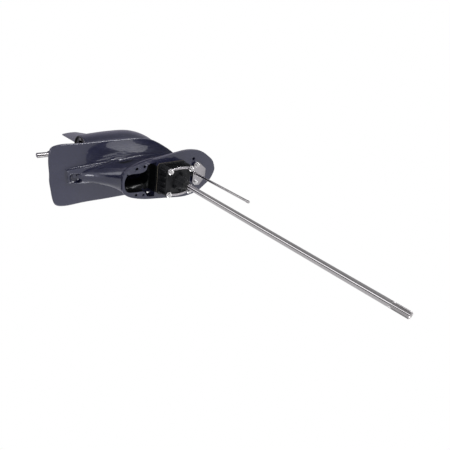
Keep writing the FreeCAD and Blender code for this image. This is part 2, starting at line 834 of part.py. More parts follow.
def make_ring_gear(side):
    """The forward gear for side 1, the reverse gear for side -1."""
    face = gear_face_x
    seat = bearing_bore - running_gap
    if side > 0:
        shoulder = forward_bearing_rear - bearing_shoulder_gap
        hub_end = forward_bearing_rear + forward_bearing_length + cut_over
        bore = bush_radius + pin_fit
    else:
        shoulder = -reverse_bearing_front
        hub_end = -reverse_bearing_front + reverse_bearing_length + cut_over / 2
        bore = propeller_shaft_radius + 2 * free_gap
    front = [(face, 0), (face, dog_radius + 1.5)]
    chamfer = 3.0
    hub = [(gear_back - chamfer, gear_rim_radius), (gear_back, gear_rim_radius - chamfer - 1),
           (gear_back, gear_hub_radius), (shoulder,
                                          gear_hub_radius), (shoulder, seat), (hub_end, seat), (hub_end, 0)]
    half_tooth = FULL_TURN / gear_teeth / 2
    first = half_tooth if side > 0 else 0.0
    gear = bevel_gear(gear_teeth, pinion_teeth, -addendum_shift, front, hub, bore, first)
    gear.Placement = FreeCAD.Placement(on_propeller_axis(0), FreeCAD.Rotation(Z_AXIS, X_AXIS * side))
    return gear.fuse(dog_ring(side * (face - dog_height), side * (face + 1), 0.0))


def make_drive_shaft():
    nut_foot = propeller_axis_z + pinion_face - pinion_nut_height
    seat_foot = propeller_axis_z + pinion_face
    seat_top = propeller_axis_z + pinion_back
    shaft = turned_up([
        (nut_foot, 0), (nut_foot, pinion_thread_radius), (seat_foot, pinion_thread_radius),
        (seat_foot, pinion_bore - running_gap), (seat_top,
                                                 pinion_bore - running_gap), (seat_top, shaft_journal_radius),
        (seal_housing_bottom, shaft_journal_radius),
        (seal_housing_bottom + 2 * (shaft_journal_radius - shaft_radius), shaft_radius),
        (shaft_top - shaft_end_chamfer, shaft_radius), (shaft_top,
                                                        shaft_radius - shaft_end_chamfer), (shaft_top, 0),
    ])
    groove_width = math.pi * shaft_radius / shaft_spline_teeth
    groove = Part.makeBox(shaft_spline_depth + 1, groove_width, shaft_spline_length + cut_over,
                          vec(shaft_radius - shaft_spline_depth, -groove_width / 2,
                              shaft_top - shaft_spline_length))
    grooves = [around_z(groove, a) for a in spaced(shaft_spline_teeth)]
    return shaft.cut(Part.makeCompound(grooves))


def make_pinion_nut():
    foot = propeller_axis_z + pinion_face - pinion_nut_height
    nut = hexagon(pinion_nut_radius, pinion_nut_height, vec(0, 0, foot))
    return nut.cut(cylinder(pinion_thread_radius + running_gap, pinion_nut_height, vec(0, 0, foot)))


def taper_bearing(bore, outer, length):
    """Cone, rollers and cup of a taper roller bearing about +Z, wide end at the bottom."""
    middle_low = (bore + outer) / 2 + roller_lean
    middle_high = (bore + outer) / 2 - roller_lean
    reach = roller_radius + track_gap
    cup_foot = roller_lean
    cone = turned_up([(0, bore), (0, middle_low - reach), (length, middle_high - reach), (length, bore)])
    cup = turned_up([(cup_foot, middle_low + reach), (cup_foot, outer), (length, outer),
                     (length, middle_high + reach)])
    tilt = math.degrees(math.atan2(middle_low - middle_high, length))
    roller_length = length - 2 * roller_radius - free_gap
    body = cylinder(roller_radius, roller_length, vec(0, 0, -roller_length / 2))
    body.rotate(vec(0, 0, 0), Y_AXIS, -tilt)
    body.translate(vec((middle_low + middle_high) / 2, 0, length / 2))
    rollers = [around_z(body, a) for a in spaced(roller_count)]
    return cone, Part.makeCompound(rollers), cup


def placed(shape, base, axis):
    moved = shape.copy()
    moved.Placement = FreeCAD.Placement(base, FreeCAD.Rotation(Z_AXIS, axis))
    return moved


def make_upper_bearing():
    length = seal_housing_bottom - upper_bearing_bottom
    return [placed(piece, vec(0, 0, upper_bearing_bottom), Z_AXIS)
            for piece in taper_bearing(shaft_journal_radius + running_gap, upper_bearing_radius, length)]


def make_forward_bearing():
    base = on_propeller_axis(forward_bearing_rear + forward_bearing_length)
    return [placed(piece, base, X_AXIS * -1)
            for piece in taper_bearing(bearing_bore, bearing_outer, forward_bearing_length)]


def make_reverse_bearing():
    """Inner ring, balls and outer ring of the reverse gear's ball bearing."""
    rear = reverse_bearing_front - reverse_bearing_length
    track = (bearing_bore + bearing_outer) / 2
    middle = rear + reverse_bearing_length / 2
    groove = Part.makeTorus(track, ball_radius + track_gap, on_propeller_axis(middle), X_AXIS)
    inner = tube(track - groove_shoulder, bearing_bore, reverse_bearing_length,
                 on_propeller_axis(rear), X_AXIS)
    outer = tube(bearing_outer, track + groove_shoulder, reverse_bearing_length,
                 on_propeller_axis(rear), X_AXIS)
    inner = inner.cut(groove)
    outer = outer.cut(groove)
    ball = Part.makeSphere(ball_radius, on_propeller_axis(middle) + vec(0, 0, track))
    balls = [around_propeller_axis(ball, a) for a in spaced(ball_count)]
    return inner, Part.makeCompound(balls), outer


def needle_sleeve(outer, bore, length, base, axis):
    """A drawn-cup needle bearing as one sleeve with a shallow groove round its bore."""
    lip = 3.0
    sleeve = tube(outer, bore + running_gap, length, base, axis)
    relief = tube(bore + lip / 2, bore, length - 2 * lip, base + axis * lip, axis)
    return sleeve.cut(relief)


def make_bearing_carrier():
    front, rear = carrier_seat_front, carrier_rear
    seat = bearing_outer + pin_fit
    fit = chamber_radius - carrier_clear
    cone_rear = carrier_seat_rear - seat_cone_length
    bearing_rear = reverse_bearing_front - reverse_bearing_length
    body = turned_along([
        (front, seat), (front, fit), (carrier_seat_rear - 8, fit), (cone_rear, carrier_tube_radius),
        (rear, carrier_tube_radius), (rear, carrier_seal_bore), (rear + 16, carrier_seal_bore),
        (rear + 16, carrier_bore),
        (carrier_seat_rear - 6, carrier_bore), (carrier_seat_rear - 6, carrier_inner_bore),
        (bearing_rear, carrier_inner_bore), (bearing_rear, seat),
    ])
    ring = tube(annulus_radius - 2 * carrier_clear, carrier_ring_inner, carrier_ring_length,
                on_propeller_axis(rear),
                X_AXIS)
    bury = 2.0
    rib = Part.makeBox(carrier_seat_rear - 16 - rear, carrier_rib,
                       carrier_ring_inner - carrier_tube_radius + 1.5 * bury,
                       vec(rear, -carrier_rib / 2, propeller_axis_z + carrier_tube_radius - bury))
    ribs = [around_propeller_axis(rib, a) for a in spaced(4, 45)]
    groove = tube(chamber_radius + 1, chamber_radius - carrier_oring_depth - oring_squeeze,
                  carrier_oring_width + 2 * oring_room, on_propeller_axis(carrier_seat_rear + 2), X_AXIS)
    holes = [cylinder(carrier_bolt_radius + bolt_gap, 2 * carrier_ring_length,
                      carrier_bolt_seat(side), X_AXIS)
             for side in (1, -1)]
    return body.fuse([ring] + ribs).cut(Part.makeCompound([groove] + holes))


def make_carrier_oring():
    base = on_propeller_axis(carrier_seat_rear + 2 + oring_room)
    return tube(chamber_radius - pin_fit, chamber_radius - carrier_oring_depth, carrier_oring_width,
                base, X_AXIS)


def make_carrier_bolts():
    bolts = [hex_bolt(carrier_bolt_radius, carrier_bolt_length, carrier_bolt_head,
                      carrier_bolt_seat(side), X_AXIS * -1)
             for side in (1, -1)]
    return Part.makeCompound(bolts)


def lip_seals(outer, inner, thickness, bases, axis):
    """A stack of rubber lip seals, each a ring whose lip thins towards the shaft."""
    wall = outer - thickness / 2
    seal = turned_up([(0, outer), (thickness, outer), (thickness * 0.6, inner), (thickness * 0.3, inner),
                      (thickness * 0.3, wall), (0, wall)])
    return Part.makeCompound([placed(seal, base, axis) for base in bases])


def make_propeller_shaft():
    front, radius, tip = propeller_shaft_front, propeller_shaft_radius, propeller_shaft_tip
    thread, cone = propeller_thread_radius, propeller_seal_radius
    collar_rear = propeller_collar_front - propeller_collar_length
    hub_stop = carrier_rear - 8
    end = 1.5
    body = turned_along([
        (front, 0), (front, radius - 1), (front - 1, radius),
        (propeller_collar_front, radius), (propeller_collar_front, propeller_collar_radius),
        (collar_rear, propeller_collar_radius), (collar_rear, radius), (hub_stop, radius), (hub_stop, cone),
        (propeller_spline_front + 4, cone), (propeller_spline_front,
                                             radius), (propeller_spline_rear, radius),
        (propeller_spline_rear - 2, thread), (tip + end, thread), (tip, thread - end), (tip, 0),
    ])
    groove_width = math.pi * radius / propeller_spline_teeth
    groove = Part.makeBox(propeller_spline_front - propeller_spline_rear + 2 * cut_over,
                          groove_width, 2 * cut_over,
                          vec(propeller_spline_rear - 2 * cut_over, -groove_width / 2,
                              propeller_axis_z + radius - propeller_spline_depth))
    grooves = [around_propeller_axis(groove, a) for a in spaced(propeller_spline_teeth)]
    pin_hole = cylinder(cotter_hole_radius, 2 * radius, vec(tip + cotter_hole_from_tip, -radius,
                                                            propeller_axis_z),
                        Y_AXIS)
    bore_rear = slider_rear - 2 * shift_travel
    slider_bore = cylinder(slider_radius + free_gap, front + cut_over - bore_rear,
                           on_propeller_axis(bore_rear), X_AXIS)
    slot_half = shift_travel + cross_pin_radius + free_gap
    pin_room = cross_pin_radius + free_gap
    slot = Part.makeBox(2 * slot_half, 4 * radius, 2 * pin_room,
                        vec(-slot_half, -2 * radius, propeller_axis_z - pin_room))
    return body.cut(Part.makeCompound(grooves)).cut(pin_hole).cut(slider_bore).cut(slot)


def make_dog_clutch():
    body = tube(dog_radius, propeller_shaft_radius + running_gap, 2 * clutch_half,
                on_propeller_axis(-clutch_half), X_AXIS)
    dogs = dog_ring(clutch_half + dog_height, clutch_half - 1, FULL_TURN / dog_count / 2)
    dogs += dog_ring(-clutch_half - dog_height, -clutch_half + 1, FULL_TURN / dog_count / 2)
    body = body.fuse(dogs)
    pin = cylinder(cross_pin_radius + pin_fit, 4 * dog_radius,
                   vec(0, -2 * dog_radius, propeller_axis_z), Y_AXIS)
    groove_half = clutch_spring_width / 2 + oring_room
    groove = tube(dog_radius + 1, dog_radius - clutch_spring_depth - oring_squeeze, 2 * groove_half,
                  on_propeller_axis(-groove_half), X_AXIS)
    return body.cut(pin).cut(groove)


def make_cross_pin():
    half_length = dog_radius - clutch_spring_depth - free_gap
    return cylinder(cross_pin_radius, 2 * half_length, vec(0, -half_length, propeller_axis_z), Y_AXIS)


def make_clutch_spring():
    return tube(dog_radius - oring_room, dog_radius - clutch_spring_depth, clutch_spring_width,
                on_propeller_axis(-clutch_spring_width / 2), X_AXIS)


def make_shift_slider():
    """The rod inside the propeller shaft, with the grooved spool that the crank pin rides in."""
    groove_half = crank_pin_radius + free_gap
    end = shift_rod_x + groove_half + spool_flange
    start = shift_rod_x - groove_half - spool_flange
    slider = turned_along([
        (slider_rear, 0), (slider_rear, slider_radius), (start, slider_radius), (start, spool_radius),
        (start + spool_flange, spool_radius), (start + spool_flange,
                                               spool_neck), (end - spool_flange, spool_neck),
        (end - spool_flange, spool_radius), (end, spool_radius), (end, 0),
    ])
    hole = cylinder(cross_pin_radius + pin_fit, 4 * slider_radius,
                    vec(0, -2 * slider_radius, propeller_axis_z), Y_AXIS)
    return slider.cut(hole)


def make_shift_rod():
    foot = propeller_axis_z + cam_bottom
    tip_foot = shift_rod_top - shift_tip_length
    tip_radius = shift_rod_radius + shift_tip_swell
    groove_depth = 2 * shift_tip_swell
    groove_width = math.pi * tip_radius / shift_tip_groove_count
    rod = cylinder(shift_rod_radius, tip_foot - foot, vec(shift_rod_x, 0, foot))
    tip = turned_up([
        (tip_foot, 0), (tip_foot, tip_radius), (shift_rod_top - 1,
                                                tip_radius), (shift_rod_top, tip_radius - 1),
        (shift_rod_top, 0),
    ], shift_rod_x)
    groove = Part.makeBox(2 * groove_depth, groove_width, shift_tip_length,
                          vec(shift_rod_x + tip_radius - groove_depth, -groove_width / 2, tip_foot + 1))
    grooves = [around_z(groove, a, shift_rod_x) for a in spaced(shift_tip_groove_count)]
    return rod.fuse(tip.cut(Part.makeCompound(grooves)))


def make_shift_cam():
    """The crank on the foot of the shift rod, whose pin moves the slider."""
    bottom = propeller_axis_z + cam_bottom
    eye_radius = crank_pin_radius + crank_wall
    boss = cylinder(crank_boss_radius, cam_thickness, vec(shift_rod_x, 0, bottom))
    arm = Part.makeBox(2 * eye_radius, crank_throw, cam_thickness, vec(shift_rod_x - eye_radius, 0, bottom))
    eye = cylinder(eye_radius, cam_thickness, vec(shift_rod_x, crank_throw, bottom))
    pin = cylinder(crank_pin_radius, cam_bottom + 1, vec(shift_rod_x, crank_throw, propeller_axis_z))
    hole = cylinder(shift_rod_radius, cam_thickness, vec(shift_rod_x, 0, bottom))
    return boss.fuse([arm, eye, pin]).cut(hole)


def make_oil_seal_housing():
    radius = seal_housing_radius
    flange, top = -seal_housing_flange, -deck_seat_depth
    bottom = seal_housing_bottom + free_gap
    recess = seal_housing_bottom + upper_bearing_gap
    ledge = seal_shelf_z - seal_shelf_thickness
    body = turned_up([
        (top, seal_housing_bore), (top, seal_housing_flange_radius),
        (flange, seal_housing_flange_radius), (flange, radius),
        (bottom, radius), (bottom, upper_bearing_radius - 5), (recess, upper_bearing_radius - 5),
        (ledge, seal_shelf_radius), (seal_shelf_z, seal_shelf_radius), (seal_shelf_z, seal_housing_bore),
    ])
    groove = tube(radius + 1, radius - housing_oring_depth - oring_squeeze,
                  housing_oring_width + 2 * oring_room,
                  vec(0, 0, housing_oring_z - oring_room))
    return body.cut(groove)


def make_oil_seal_oring():
    return tube(seal_housing_radius, seal_housing_radius - housing_oring_depth, housing_oring_width,
                vec(0, 0, housing_oring_z))


def pump_footprint(margin, bottom, height):
    return rounded_slab(pump_rear - margin, pump_front + margin, pump_half_width + margin,
                        pump_corner, bottom, height)


def pump_bolt_places():
    return [(x, y) for x in (pump_bolt_x, -pump_bolt_x) for y in (pump_bolt_y, -pump_bolt_y)]


def flat_layer(margin, bottom, thickness, shaft_hole):
    """A thin layer of the pump's stack, with its bolt holes, shaft hole and water hole."""
    layer = pump_footprint(margin, bottom, thickness)
    cutters = [cylinder(pump_bolt_radius + bolt_gap, thickness, vec(x, y, bottom)) for x,
               y in pump_bolt_places()]
    cutters.append(cylinder(shaft_hole, thickness, vec(0, 0, bottom)))
    cutters.append(cylinder(dowel_radius + running_gap, thickness, vec(dowel_x, dowel_y, bottom)))
    cutters.append(cylinder(dowel_radius + running_gap, thickness, vec(-dowel_x, -dowel_y, bottom)))
    return layer.cut(Part.makeCompound(cutters))


def make_pump_housing():
    """The moulded pump body: foot flange, ribbed box with bolt posts, and the tower round the shaft."""
    foot = pump_footprint(0, pump_base, pump_flange_height - pump_base)
    inset = pump_box_inset
    box = rounded_slab(pump_rear + inset, pump_front - inset, pump_half_width - inset, pump_corner,
                       pump_base,
                       pump_top - pump_base)
    box = box.makeFillet(2.5, [e for e in box.Edges if e.BoundBox.ZMin > pump_top - 0.1])
    posts = [cylinder(pump_post_radius, pump_top - pump_base, vec(x, y, pump_base)) for x,
             y in pump_bolt_places()]
    rib_rise = pump_top - pump_base - pump_rib_width
    ribs = []
    for step in (-2, -1, 0, 1, 2):
        ribs.append(Part.makeBox(inset + 1, pump_rib_width, rib_rise,
                                 vec(pump_rear, step * pump_rib_pitch - pump_rib_width / 2, pump_base)))
    tower = turned_up([
        (pump_top - tower_bury, 0), (pump_top - tower_bury,
                                     tower_base_radius), (pump_top + tower_foot_rise, tower_base_radius - 2),
        (pump_top + tower_shoulder_rise, tower_top_radius + 3), (tower_top, tower_top_radius), (tower_top, 0),
    ])
    fin = Part.makeBox(tower_base_radius + 5, fin_thickness, fin_rise,
                       vec(0, -fin_thickness / 2, pump_top - cut_over))
    fins = [around_z(fin, a) for a in spaced(fin_count, fin_start) if a > fin_start]
    outlet = cylinder(water_tube_radius + outlet_wall,
                      grommet_foot + grommet_length - pump_top + tower_bury - 3,
                      vec(water_tube_x, water_tube_y, pump_top - tower_bury))
    body = foot.fuse([box, tower, outlet] + posts + ribs + fins)
    chamber = cylinder(cup_radius + running_gap, cup_top - pump_base, vec(cup_offset, 0, pump_base))
    shaft_way = cylinder(shaft_radius + 5 * free_gap, tower_top, vec(0, 0, 0))
    tube_way = cylinder(water_tube_radius + grommet_wall, tower_top - pump_top + 2 * tower_bury,
                        vec(water_tube_x, water_tube_y, pump_top - 2 * tower_bury))
    bolt_ways = [cylinder(pump_bolt_radius + bolt_gap, pump_top + 1, vec(x, y, 0)) for x,
                 y in pump_bolt_places()]
    dowel_ways = [cylinder(dowel_radius + running_gap, dowel_depth + 1,
                           vec(side * dowel_x, side * dowel_y, pump_base))
                  for side in (1, -1)]
    return body.cut(Part.makeCompound([chamber, shaft_way, tube_way] + bolt_ways + dowel_ways))


def make_pump_cup():
    height = cup_top - pump_base
    base = vec(cup_offset, 0, pump_base)
    cup = cylinder(cup_radius, height, base).cut(cylinder(cup_radius - cup_wall, height - cup_wall, base))
    return cup.cut(cylinder(impeller_hub + 1.5, height + 1, vec(0, 0, pump_base)))


def make_impeller():
    """A rubber hub with leaning vanes, kept just clear of the cup."""
    bottom = pump_base + free_gap
    height = cup_top - cup_wall - free_gap - bottom
    hub = cylinder(impeller_hub, height, vec(0, 0, bottom))
    bury = 4.0
    bead = vane_thickness * 0.75
    vane_length = impeller_radius - impeller_hub - bead
    lean = math.radians(vane_lean)
    vane = Part.makeBox(vane_length + bury, vane_thickness, height,
                        vec(impeller_hub - bury, -vane_thickness / 2, bottom))
    vane.rotate(vec(impeller_hub, 0, 0), Z_AXIS, vane_lean)
    tip = cylinder(bead, height, vec(impeller_hub + vane_length * math.cos(lean),
                                     vane_length * math.sin(lean), bottom))
    blades = []
    for a in spaced(vane_count):
        blades.append(around_z(vane, a))
        blades.append(around_z(tip, a))
    wheel = hub.fuse(blades)
    way_half = key_width / 2 + running_gap
    key_way = Part.makeBox(2 * key_height, 2 * way_half, height,
                           vec(shaft_radius - key_height + free_gap, -way_half, bottom))
    return wheel.cut(cylinder(shaft_radius + running_gap, height, vec(0, 0, bottom))).cut(key_way)


def make_impeller_key():
    bottom = pump_base + free_gap
    key = Part.makeBox(key_height, key_width, key_length,
                       vec(shaft_radius - 0.1, -key_width / 2, bottom + 3))
    return key.cut(cylinder(shaft_radius, 2 * key_length, vec(0, 0, bottom)))


def make_pump_washers():
    return Part.makeCompound([tube(washer_radius, pump_bolt_radius + free_gap, washer_thickness,
                                   vec(x, y, pump_top + bar_thickness)) for x, y in pump_bolt_places()])


def make_pump_bolts():
    seat = pump_top + bar_thickness + washer_thickness
    length = seat + pump_bolt_hole_depth - 2 * cut_over
    return Part.makeCompound([hex_bolt(pump_bolt_radius - running_gap, length, bolt_head, vec(x, y, seat))
                              for x, y in pump_bolt_places()])


def make_holder_bar(side):
    """The flat bar, bowed outwards, with an eye at each end that joins the two pump bolts of one side."""
    y = side * pump_bolt_y
    half = bar_width / 2
    long_edges = [Part.Arc(vec(-pump_bolt_x, y + offset, pump_top),
                           vec(0, y + offset + side * bar_bow, pump_top),
                           vec(pump_bolt_x, y + offset, pump_top)).toShape() for offset in (half, -half)]
    end_edges = [Part.makeLine(vec(x, y - half, pump_top), vec(x, y + half, pump_top))
                 for x in (pump_bolt_x, -pump_bolt_x)]
    outline = Part.Wire(Part.__sortEdges__(long_edges + end_edges))
    bar = Part.Face(outline).extrude(vec(0, 0, bar_thickness))
    eyes = [cylinder(bar_eye_radius, bar_thickness,
                     vec(x, y, pump_top)) for x in (pump_bolt_x, -pump_bolt_x)]
    holes = [cylinder(pump_bolt_radius + bolt_gap, bar_thickness, vec(x, y, pump_top))
             for x in (pump_bolt_x, -pump_bolt_x)]
    return bar.fuse(eyes).cut(Part.makeCompound(holes))


def make_pump_boot():
    """The rubber collar that closes the pump's tower round the shaft."""
    inner = shaft_radius + free_gap
    wide = tower_top_radius - 1
    height = boot_top - tower_top
    return turned_up([
        (tower_top, inner), (tower_top, wide), (tower_top + height * 0.25, wide + 0.5),
        (tower_top + height * 0.6, wide - 2.5), (boot_top - 2,
                                                 inner + 2.6), (boot_top, inner + 1.4), (boot_top, inner),
    ])


def make_water_tube_grommet():
    collar_height = 3.0
    sleeve = tube(water_tube_radius + grommet_wall - running_gap, water_tube_radius,
                  grommet_length - collar_height,
                  vec(water_tube_x, water_tube_y, grommet_foot))
    collar = tube(water_tube_radius + 2 * grommet_wall, water_tube_radius, collar_height,
                  vec(water_tube_x, water_tube_y, grommet_foot + grommet_length - collar_height))
    return sleeve.fuse(collar)


def make_dowels():
    return Part.makeCompound([cylinder(dowel_radius, pump_base + dowel_depth,
                                       vec(side * dowel_x, side * dowel_y, 0))
                              for side in (1, -1)])


def make_shift_bracket():
    bottom = bracket_top - bracket_thickness
    plate = slab(bracket_outline, bottom, bracket_thickness)
    upright = [e for e in plate.Edges if e.BoundBox.ZLength > bracket_thickness / 2]
    plate = plate.makeFillet(bracket_corner, upright)
    holes = [cylinder(bracket_bolt_radius + bolt_gap, bracket_top, vec(bracket_bolt_x, y, 0))
             for y in (bracket_bolt_y, -bracket_bolt_y)]
    holes.append(cylinder(shift_rod_radius + 4 * free_gap, bracket_top, vec(shift_rod_x, 0, 0)))
    return plate.cut(Part.makeCompound(holes))


def make_bracket_bolts():
    length = bracket_top + bracket_bolt_hole_depth - 2 * cut_over
    return Part.makeCompound([hex_bolt(bracket_bolt_radius - running_gap, length, bolt_head,
                                       vec(bracket_bolt_x, y, bracket_top))
                              for y in (bracket_bolt_y, -bracket_bolt_y)])


def make_shift_seal_housing():
    height = bracket_top - bracket_thickness + deck_seat_depth
    return tube(shift_seal_radius, 2 * shift_rod_radius, height, vec(shift_rod_x, 0, -deck_seat_depth))


def make_shift_rod_seal():
    height = bracket_top - bracket_thickness + deck_seat_depth - free_gap
    return tube(2 * shift_rod_radius - running_gap, shift_rod_radius + seal_lip_gap, height,
                vec(shift_rod_x, 0, -deck_seat_depth))


def make_water_screen(side):
    """A slotted cover over the water intake of one side."""
    edge = screen_edge_gap
    length = intake_front - intake_rear - 2 * edge
    height = intake_top - intake_bottom - 2 * edge
    outer_y = screen_y if side > 0 else -screen_y - screen_thickness
    plate = Part.makeBox(length, screen_thickness, height,
                         vec(intake_rear + edge, outer_y, intake_bottom + edge))
    plate = plate.makeFillet(screen_margin - edge, [e for e in plate.Edges if e.BoundBox.YLength > 1])
    margin = screen_slot_margin
    pitch = (height - 2 * margin) / (screen_slots - 0.5)
    slots = []
    for i in range(screen_slots):
        slots.append(Part.makeBox(length - 2 * margin, 2 * screen_thickness, pitch / 2,
                                  vec(intake_rear + edge + margin, outer_y - screen_thickness / 2,
                                      intake_bottom + edge + margin + pitch * i)))
    holes = [cylinder(screen_screw_radius + free_gap, 2 * screen_thickness,
                      vec(x, outer_y - screen_thickness / 2,
                          screen_screw_z), Y_AXIS) for x in screen_screw_places()]
    return plate.cut(Part.makeCompound(slots + holes))


def screen_screw_places():
    return (intake_rear + screen_screw_inset, intake_front - screen_screw_inset)


def make_screen_screws():
    screws = []
    for side in (1, -1):
        for x in screen_screw_places():
            out = Y_AXIS * side
            seat = vec(x, side * (screen_y + screen_thickness), screen_screw_z)
            shank = cylinder(screen_screw_radius, screen_thickness, seat - out * screen_thickness, out)
            head = cylinder(1.7 * screen_screw_radius, 0.8 * screen_screw_radius, seat, out)
            screws.append(shank.fuse(head))
    return Part.makeCompound(screws)


def make_plug(z):
    out = Y_AXIS * -1
    face = plug_seat(z) + out * plug_gasket
    shank = cylinder(plug_radius - running_gap, plug_length, face - out * plug_length, out)
    head = cylinder(plug_head_radius, plug_head, face, out)
    slot = Part.makeBox(2 * plug_head_radius, plug_slot_depth, plug_slot_width,
                        vec(plug_x - plug_head_radius, face.y - plug_head, z - plug_slot_width / 2))
    return shank.fuse(head).cut(slot)


def make_plug_gaskets():
    outer, inner = plug_head_radius - free_gap, plug_radius + 2 * running_gap
    return Part.makeCompound([tube(outer, inner, plug_gasket, plug_seat(z), Y_AXIS * -1)
                              for z in (drain_plug_z, level_plug_z)])


def make_trim_tab():
    """The fin under the plate, on a round foot that turns on its bolt."""
    top = plate_top - plate_thickness - free_gap
    foot = cylinder(tab_disc_radius, tab_disc, vec(tab_bolt_x, 0, top - tab_disc))
    port_edge, starboard_edge = tab_edge_half, -tab_edge_half
    sections = []
    for z, rear, front, half in (
        (top - tab_disc + 0.5, tab_rear, tab_front, tab_half),
        (tab_bottom, tab_rear + tab_rake, tab_front - 2 * tab_rake, tab_half * 0.6),
    ):
        middle = front - (front - rear) * 0.35
        port = Part.BSplineCurve()
        port.interpolate([vec(rear, port_edge, z), vec(middle, half, z), vec(front, port_edge, z)])
        starboard = Part.BSplineCurve()
        starboard.interpolate([vec(front, starboard_edge, z), vec(middle, -half, z),
                               vec(rear, starboard_edge, z)])
        front_cap = Part.makeLine(vec(front, port_edge, z), vec(front, starboard_edge, z))
        rear_cap = Part.makeLine(vec(rear, starboard_edge, z), vec(rear, port_edge, z))
        sections.append(Part.Wire([port.toShape(), front_cap, starboard.toShape(), rear_cap]))
    fin = Part.makeLoft(sections, True, True)
    depth = tab_bolt_grip + cut_over
    hole = cylinder(tab_bolt_radius + running_gap, depth, vec(tab_bolt_x, 0, top - depth))
    return foot.fuse(fin).cut(hole)


def make_trim_tab_bolt():
    length = pocket_floor - (plate_top - plate_thickness) + tab_bolt_grip
    return hex_bolt(tab_bolt_radius, length, bolt_head, vec(tab_bolt_x, 0, pocket_floor))


def make_thrust_washer():
    return tube(propeller_collar_radius + 2, propeller_shaft_radius + running_gap, thrust_washer_thickness,
                on_propeller_axis(propeller_collar_front + 2 * running_gap), X_AXIS)


def make_forward_gear_bush():
    return tube(bush_radius, propeller_shaft_radius + running_gap, bush_length,
                on_propeller_axis(bush_rear), X_AXIS)


def all_pieces():
    """Every piece by its node's name."""
    upper_cone, upper_rollers, upper_cup = make_upper_bearing()
    forward_cone, forward_rollers, forward_cup = make_forward_bearing()
    inner_ring, balls, outer_ring = make_reverse_bearing()
    shaft_seal_bases = [vec(0, 0, seal_shelf_z + 1 + 8 * i) for i in range(2)]
    propeller_seal_bases = [on_propeller_axis(carrier_rear + 2 + 7 * i) for i in range(2)]
    return {
        "gearcase_housing": make_gearcase_housing(),
        "bearing_carrier": make_bearing_carrier(),
        "carrier_bolts": make_carrier_bolts(),
        "carrier_oring": make_carrier_oring(),
        "carrier_needle_bearing": needle_sleeve(carrier_bore, propeller_shaft_radius, needle_bearing_length,
                                                on_propeller_axis(carrier_rear + 18), X_AXIS),
        "propeller_shaft_seals": lip_seals(carrier_seal_bore - running_gap,
                                           propeller_shaft_radius + seal_lip_gap, 6,
                                           propeller_seal_bases, X_AXIS),
        "reverse_bearing_outer_ring": outer_ring,
        "forward_bearing_cup": forward_cup,
        "upper_bearing_cup": upper_cup,
        "lower_needle_bearing": needle_sleeve(lower_bearing_radius, shaft_journal_radius,
                                              lower_bearing_length,
                                              vec(0, 0, lower_bearing_top - lower_bearing_length), Z_AXIS),
        "oil_seal_housing": make_oil_seal_housing(),
        "oil_seal_oring": make_oil_seal_oring(),
        "drive_shaft_seals": lip_seals(seal_housing_bore - running_gap, shaft_radius + seal_lip_gap, 7,
                                       shaft_seal_bases, Z_AXIS),
        "pump_gasket": flat_layer(0, -deck_seat_depth, gasket_thickness + deck_seat_depth,
                                  seal_housing_bore + 2),
        "wear_plate": flat_layer(wear_plate_margin, gasket_thickness, wear_plate_thickness,
                                 shaft_radius + 3.5),
        "pump_dowels": make_dowels(),
        "pump_insert_cup": make_pump_cup(),
        "pump_housing": make_pump_housing(),
        "pump_washers": make_pump_washers(),
        "pump_bolts": make_pump_bolts(),
        "holder_bar_port": make_holder_bar(1),
        "holder_bar_starboard": make_holder_bar(-1),
        "pump_boot": make_pump_boot(),
        "water_tube_grommet": make_water_tube_grommet(),
        "shift_seal_housing": make_shift_seal_housing(),
        "shift_rod_seal": make_shift_rod_seal(),
        "shift_bracket": make_shift_bracket(),
        "bracket_bolts": make_bracket_bolts(),
        "water_screen_port": make_water_screen(1),
        "water_screen_starboard": make_water_screen(-1),
        "screen_screws": make_screen_screws(),
        "drain_plug": make_plug(drain_plug_z),
        "level_plug": make_plug(level_plug_z),
        "plug_gaskets": make_plug_gaskets(),
        "trim_tab_bolt": make_trim_tab_bolt(),
        "drive_shaft": make_drive_shaft(),
        "pinion_gear": make_pinion(),
        "pinion_nut": make_pinion_nut(),
        "pump_impeller": make_impeller(),
        "impeller_key": make_impeller_key(),
        "upper_bearing_cone": upper_cone,
        "upper_bearing_rollers": upper_rollers,
        "forward_gear": make_ring_gear(1),
        "forward_gear_bush": make_forward_gear_bush(),
        "forward_bearing_cone": forward_cone,
        "forward_bearing_rollers": forward_rollers,
        "reverse_gear": make_ring_gear(-1),
        "reverse_bearing_inner_ring": inner_ring,
        "reverse_bearing_balls": balls,
        "propeller_shaft": make_propeller_shaft(),
        "thrust_washer": make_thrust_washer(),
        "dog_clutch": make_dog_clutch(),
        "clutch_cross_pin": make_cross_pin(),
        "clutch_spring": make_clutch_spring(),
        "shift_slider": make_shift_slider(),
        "shift_rod": make_shift_rod(),
        "shift_cam": make_shift_cam(),
        "trim_tab": make_trim_tab(),
    }


def main():
    os.makedirs("parts", exist_ok=True)
    for node, shape in all_pieces().items():
        shape.exportStep(f"parts/{node}.step")


main()
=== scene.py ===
import json
import math

import bmesh
import bpy
from bpy.props import FloatProperty, FloatVectorProperty, IntProperty, PointerProperty
from mathutils import Matrix, Vector
from mathutils.bvhtree import BVHTree


